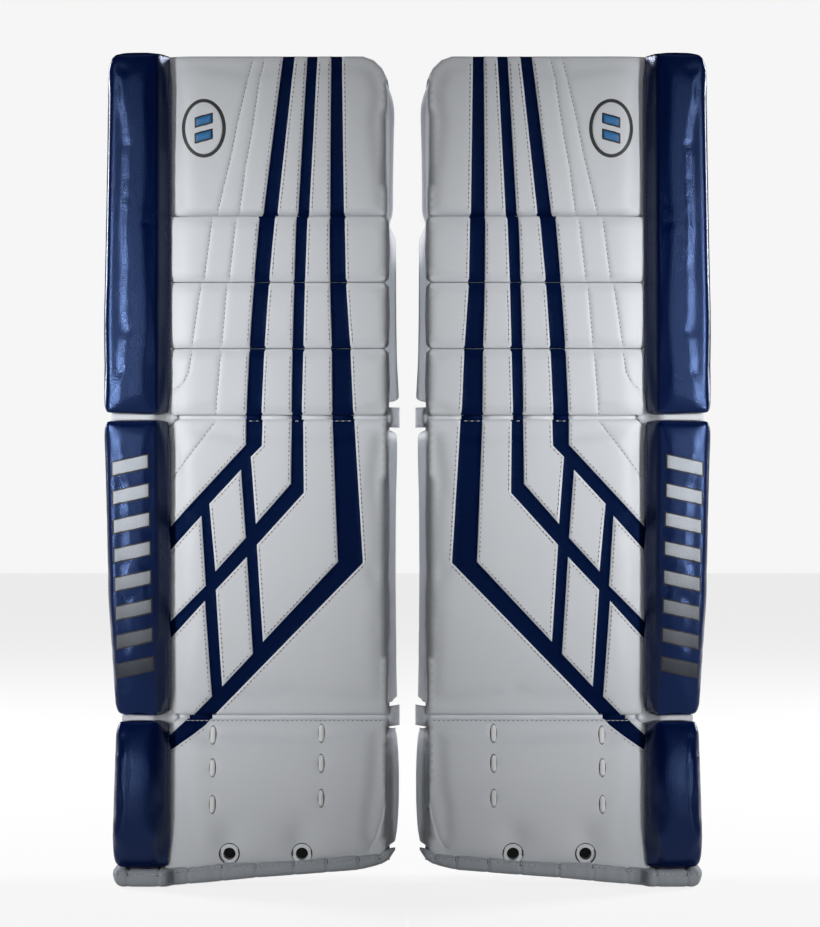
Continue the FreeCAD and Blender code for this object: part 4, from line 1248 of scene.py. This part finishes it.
def make_binding():
    """The bound toe edge: a folded strip round the flap, gathered where it is tacked."""
    tacks = (24, 52, 79, 111, 143, 179, 210, 240, 259)
    across = (10, 14, 56, 60, 66, 72, 268, 277)
    rings = []
    for u in [10, 10.6, 11.4, 12.4] + list(np.arange(14, 275, 1.5)):
        low, high = toe_edge(u) if u > 58 else 0.0, binding_top(u)
        low += rounding(u, 10, AWAY * 2, 10)
        if u > 262:
            half = (high - low) / 2 * math.sqrt(max(0.03, 1 - ((u - 262) / 12.5) ** 2))
            low, high = (low + high) / 2 - half, (low + high) / 2 + half
        front = float(np.interp(u, across, (-14, -18, -18.5, -17, -5, -2.4, -2.4, 6)))
        back = float(np.interp(u, across, (58, 64, 64, 60, 22, 13, 13, 12)))
        pinch = sum(math.exp(-((u - t) / 1.6) ** 2) for t in tacks)
        ripple = 0.7 * noise.noise(Vector((u * 0.09, 0.3, 5.0)))
        low, high = low + 0.8 + 0.3 * pinch, high + ripple - 1.2 * pinch
        front += 1.2 * pinch + 0.6 * noise.noise(Vector((u * 0.13, 2.0, 1.0)))
        tall = high - low
        rings.append([(u, front + 0.9, high), (u, front - 0.2, high - 1.5),
                      (u, front - 1.1, low + tall * 0.6), (u, front - 1.2, low + tall * 0.3),
                      (u, front + 0.2, low + 1.6), (u, front + 3, low), (u, back - 3, low),
                      (u, back, low + 2), (u, back, high - 2), (u, back - 1.5, high)])
    strip = loft("binding", rings, [BINDING])
    depth = front_of(strip)
    line = [(u, binding_top(u) - 3.2) for u in np.arange(12, 270, 6.0)]
    threads = stitches("binding_threads", [line], depth, THREAD, NEEDLE_HOLE_SHADE, 3.6)
    bars = [[(t + 0.2, binding_top(t) - 5), (t - 0.4, binding_top(t) + 2.5)] for t in tacks]
    ticks = stitches("tacks", bars, depth, SHADE_AND_DARK_THREAD, NEEDLE_HOLE_SHADE, 3.0)
    hand_over(strip, "toe_binding_strip", "boot", ("toe_binding",))
    hand_over(merge("binding_threads", [threads, ticks]), "toe_binding_stitching", "boot", ())


def make_breaks():
    """The folded leather in the two flex lines."""
    for name, level, body, reach, start, stripes in (
            ("knee_break", KNEE_BREAK, "thigh", 6, 8, stripe_edges(440, True)),
            ("boot_break", BOOT_BREAK, "boot", -6, 17, [79.6, 101])):
        edges = [55] + stripes + [FACE_EDGE - 1, NARROW_EDGE - 0.5]
        sunk = ankle(level)
        folds, fold_middle = ("shin", body), 140
        parts = []
        for k, (a, b) in enumerate(zip(edges, edges[1:])):
            rings = []
            for u in np.linspace(a, b, max(3, int((b - a) / 6))):
                wave = 0.5 * noise.noise(Vector((u * 0.07, level, 0)))
                front = sunk + hollow(u) + wave + 2.2 * max(0, u - FACE_EDGE)
                tall = 6 if b < edges[-1] else 9.5
                rings.append([(u, front + 7, level - tall), (u, front + 3.6, level - tall / 2),
                              (u, front + 2.4, level), (u, front + 3.6, level + tall / 2),
                              (u, front + 7, level + tall), (u, front + 12, level + tall),
                              (u, front + 12, level - tall)])
            # The fold's inner end takes the same painted side shade; the rest carries the stripes.
            leather_here = SIDE_SHADE if b == edges[-1] else (WHITE, NAVY)[k % 2]
            parts.append(loft("fold", rings, [leather_here]))
        fold = merge(name, parts)
        paint_back(fold, limit=8)
        hand_over(fold, f"{name}_fold", None, (),
                  bend=folds + ((fold_middle, 0, level - reach), (fold_middle, 0, level + reach)))
        rings = []
        for u in np.linspace(start, 68, 18):
            share = min(1, max(0, (u - 46) / 16))
            front = -15 + 15 * share + sunk
            half = 1.4 + 4.6 * math.exp(-((u - 61) / 4.5) ** 2)
            rings.append([(u, front + 5, level - half - 3), (u, front + 0.5, level - half * 0.5),
                          (u, front + 2.5, level), (u, front + 0.5, level + half * 0.5),
                          (u, front + 5, level + half + 3), (u, 60, level + 4), (u, 60, level - 4)])
        gusset = loft("gusset", rings, [WHITE])
        gusset_middle = 30
        hand_over(gusset, f"{name}_gusset", None, (),
                  bend=folds + ((gusset_middle, 0, level - reach), (gusset_middle, 0, level + reach)))


def make_back():
    """Calf wraps, knee wing and knee block behind the board."""
    def upright(u0, u1, v0, v1, z0, z1, corner):
        rings = []
        for z in np.linspace(z0, z1, 24):
            short = rounding(z, z0, z1, corner)
            rings.append([(u0, v0, z), (u1, v0, z), (u1, v1 - short, z), (u0, v1 - short, z)])
        return rings
    for name, rings, body in (
            ("calf_wrap_outer", upright(30.6, 43.4, 71.5, 172, 186, 424, 26), "calf_wrap_outer"),
            ("calf_wrap_inner", upright(255.6, 268.4, 59.5, 172, 186, 424, 26), "calf_wrap_inner"),
            ("knee_wing", upright(30.6, 43.4, 81, 157, 481, 609, 22), "knee_wing"),
            ("knee_block", upright(197, 267, 59, 118, 476, 599, 8), "thigh")):
        soft = stuffed(name, rings, [WRAP], voxel=4.5 if name != "knee_block" else 5, cap=3)
        points = local(coordinates(soft))
        if name != "knee_block":
            middle = (rings[0][0][0] + rings[0][1][0]) / 2
            for level in np.arange(rings[0][0][2] + 24, rings[-1][0][2] - 12, 24):
                pull = np.exp(-((points[:, 2] - level) / 2.4) ** 2)
                points[:, 0] -= (points[:, 0] - middle) * 0.35 * pull
            move_to(soft, world(points))
        hand_over(soft, f"{name}_padding", body, (name,))


CHANNEL_PITCH = 34              # spacing of the liner's sewn channels


def make_liner_pads():
    """Quilted liner pads behind the leg: sewn channels across a soft pad."""
    for name, body, (u0, u1), (z0, z1), back in (
            ("thigh_liner_pad", "thigh", (68, 262), (452, 764), 61.5),
            ("shin_liner_pad", "shin", (72, 250), (176, 424), 61.5),
            ("boot_liner_pad", "boot", (70, 262), (68, 140), 60.5)):
        middle = (z0 + z1) / 2
        rings = []
        for z in np.linspace(z0, z1, 30):
            short = rounding(z, z0, z1, 12)
            rings.append([(u0 + short, back - 9, z), (u1 - short, back - 9, z), (u1 - short, back, z),
                          (u0 + short, back, z)])
        pad = stuffed(name, rings, [LINER], voxel=4.5, cap=3, rounds=2)
        points = local(coordinates(pad))
        below = int((middle - z0 - 12) / CHANNEL_PITCH)
        levels = np.arange(middle - CHANNEL_PITCH * below, z1 - 10, CHANNEL_PITCH)
        for level in levels:
            groove = 2.4 * np.exp(-((points[:, 2] - level) / 2.6) ** 2)
            points[:, 1] -= np.where(points[:, 1] > back - 5, groove, 0)
        move_to(pad, world(points))
        rows = [[(u0 + 8, level), (u1 - 8, level)] for level in levels]
        seams = stitches(f"{name}_seams", rows, back_of(pad), STRAP_THREAD, HOLE_SHADE_DARK, facing=1)
        hand_over(pad, name, body, ())
        hand_over(seams, f"{name}_stitching", body, ())


def make_strap_stitching():
    """Two rows of stitches along the back of each strap."""
    for name, body, node, lows in (("calf_strap", "shin", "calf_straps", (215, 355)),
                                   ("knee_strap", "thigh", "knee_strap", (520,)),
                                   ("boot_strap", "boot", "boot_strap", (62,))):
        low_corner, high_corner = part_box(f"right_{node}")
        u0, u1 = ((corner.x - OUTER_X) / MM for corner in (low_corner, high_corner))
        back = (high_corner.y - FACE_Y) / MM
        rows = [[(u0 + 22, low + inset_by), (u1 - 20, low + inset_by)]
                for low in lows for inset_by in (3.5, 34.5)]
        threads = stitches(f"{name}_threads", rows, lambda u, z, at=back: at, STRAP_THREAD, HOLE_SHADE_DARK,
                           facing=1)
        hand_over(threads, f"{name}_stitching", body, (), straight=False)


def finish_cad():
    """Give the CAD parts that stay in view their finishes."""
    slots = {row["node"]: row["material_slot"] for row in frame["record"]["subparts"]}
    for node, obj in frame["nodes"].items():
        for k in range(len(obj.material_slots)):
            obj.material_slots[k].material = FINISHES[slots[node]]


# ---- the studio ---------------------------------------------------------------------------------

def lamp(kind, name, at, towards, power, **values):
    """A lamp aimed at a point, with its own kind of settings."""
    light = bpy.data.lights.new(name, kind)
    for setting, value in values.items():
        setattr(light, setting, value)
    light.energy = power
    obj = bpy.data.objects.new(name, light)
    obj.location = at
    obj.rotation_euler = (Vector(towards) - Vector(at)).to_track_quat("-Z", "Y").to_euler()
    bpy.context.scene.collection.objects.link(obj)
    return obj


def area_light(name, at, towards, size, power):
    return lamp("AREA", name, at, towards, power, shape="RECTANGLE", size=size[0], size_y=size[1])


def soft_spot(name, at, towards, power, degrees):
    """A soft spot beside the camera, brightest in the middle of its cone."""
    return lamp("SPOT", name, at, towards, power, spot_size=math.radians(degrees), spot_blend=1.0,
                shadow_soft_size=0.22)


def make_studio():
    """A pale floor and sky that light nothing themselves, with soft lamps on every side.

    A dark card stands unseen between the pads, so that each is lit from its own outer side.
    """
    floor_paint = Shader("studio_floor", linear(120, 120, 120), 0.9, Emission_Strength=0.83,
                         Emission_Color=(1, 1, 1, 1), Specular_IOR_Level=0.0)
    floor_paint.bump(floor_paint.noise(60.0), 0.0003)
    half = 9
    corners = [Vector((x * half, y * half, -0.0005)) for x, y in ((-1, -1), (1, -1), (1, 1), (-1, 1))]
    floor = piece("studio_floor", corners, [(0, 1, 2, 3)], [floor_paint.material])
    floor.visible_diffuse = False
    background = bpy.data.worlds.new("studio_air")
    background.use_nodes = True
    air = background.node_tree.nodes["Background"]
    air.inputs["Color"].default_value = (0.92, 0.92, 0.92, 1)
    background.cycles_visibility.diffuse = False
    background.cycles_visibility.glossy = False
    bpy.context.scene.world = background
    area_light("overhead", (0, -1.0, 2.8), (0, 0, 0.3), (2.4, 1.6), 6)
    key = area_light("key", (0, -3.4, 1.5), (0, 0, 0.4), (2.0, 0.8), 34)
    key.visible_glossy = False
    for side in (-1, 1):
        soft_spot(f"knee_{side + 1}", (side * 1.9, -2.5, 0.6), (side * 0.2, 0, 0.5), 295, 16)
        boot = soft_spot(f"boot_{side + 1}", (side * 1.6, -2.7, 0.25), (side * 0.16, 0, 0.11), 165, 9.5)
        boot.visible_glossy = False
        area_light(f"rear_{side + 1}", (side * 2.6, 1.7, 1.3), (0, 0, 0.4), (0.9, 1.4), 95)
        sheen = area_light(f"sheen_{side + 1}", (side * 0.55, -3.2, 0.72), (side * 0.26, 0, 0.45),
                           (0.2, 0.2), 12)
        sheen.visible_diffuse = False
    card_paint = Shader("studio_card", linear(8, 8, 8), 1.0, Specular_IOR_Level=0.0)
    corners = [Vector((0, y, z)) for y, z in ((-2.4, 0), (-0.09, 0), (-0.09, 1.5), (-2.4, 1.5))]
    card = piece("studio_card", corners, [(0, 1, 2, 3)], [card_paint.material])
    card.visible_camera = False
    card.visible_glossy = False


def make_camera():
    reach, view_width = 3.2, 0.7708
    lens = bpy.data.cameras.new("camera")
    lens.sensor_fit = "HORIZONTAL"
    lens.sensor_width = 36
    lens.lens = 36 * reach / view_width
    camera = bpy.data.objects.new("camera", lens)
    camera.location = (0.0024, FACE_Y - reach, 0.396)
    camera.rotation_euler = (math.pi / 2, 0, 0)
    bpy.context.scene.collection.objects.link(camera)
    bpy.context.scene.camera = camera


finish_cad()
make_thigh()
make_knee()
make_shin()
make_boot()
make_rolls()
make_binding()
make_breaks()
make_back()
make_liner_pads()
make_strap_stitching()
make_studio()
make_camera()
settings = bpy.context.scene.view_settings
settings.view_transform = "Standard"
settings.look = "None"
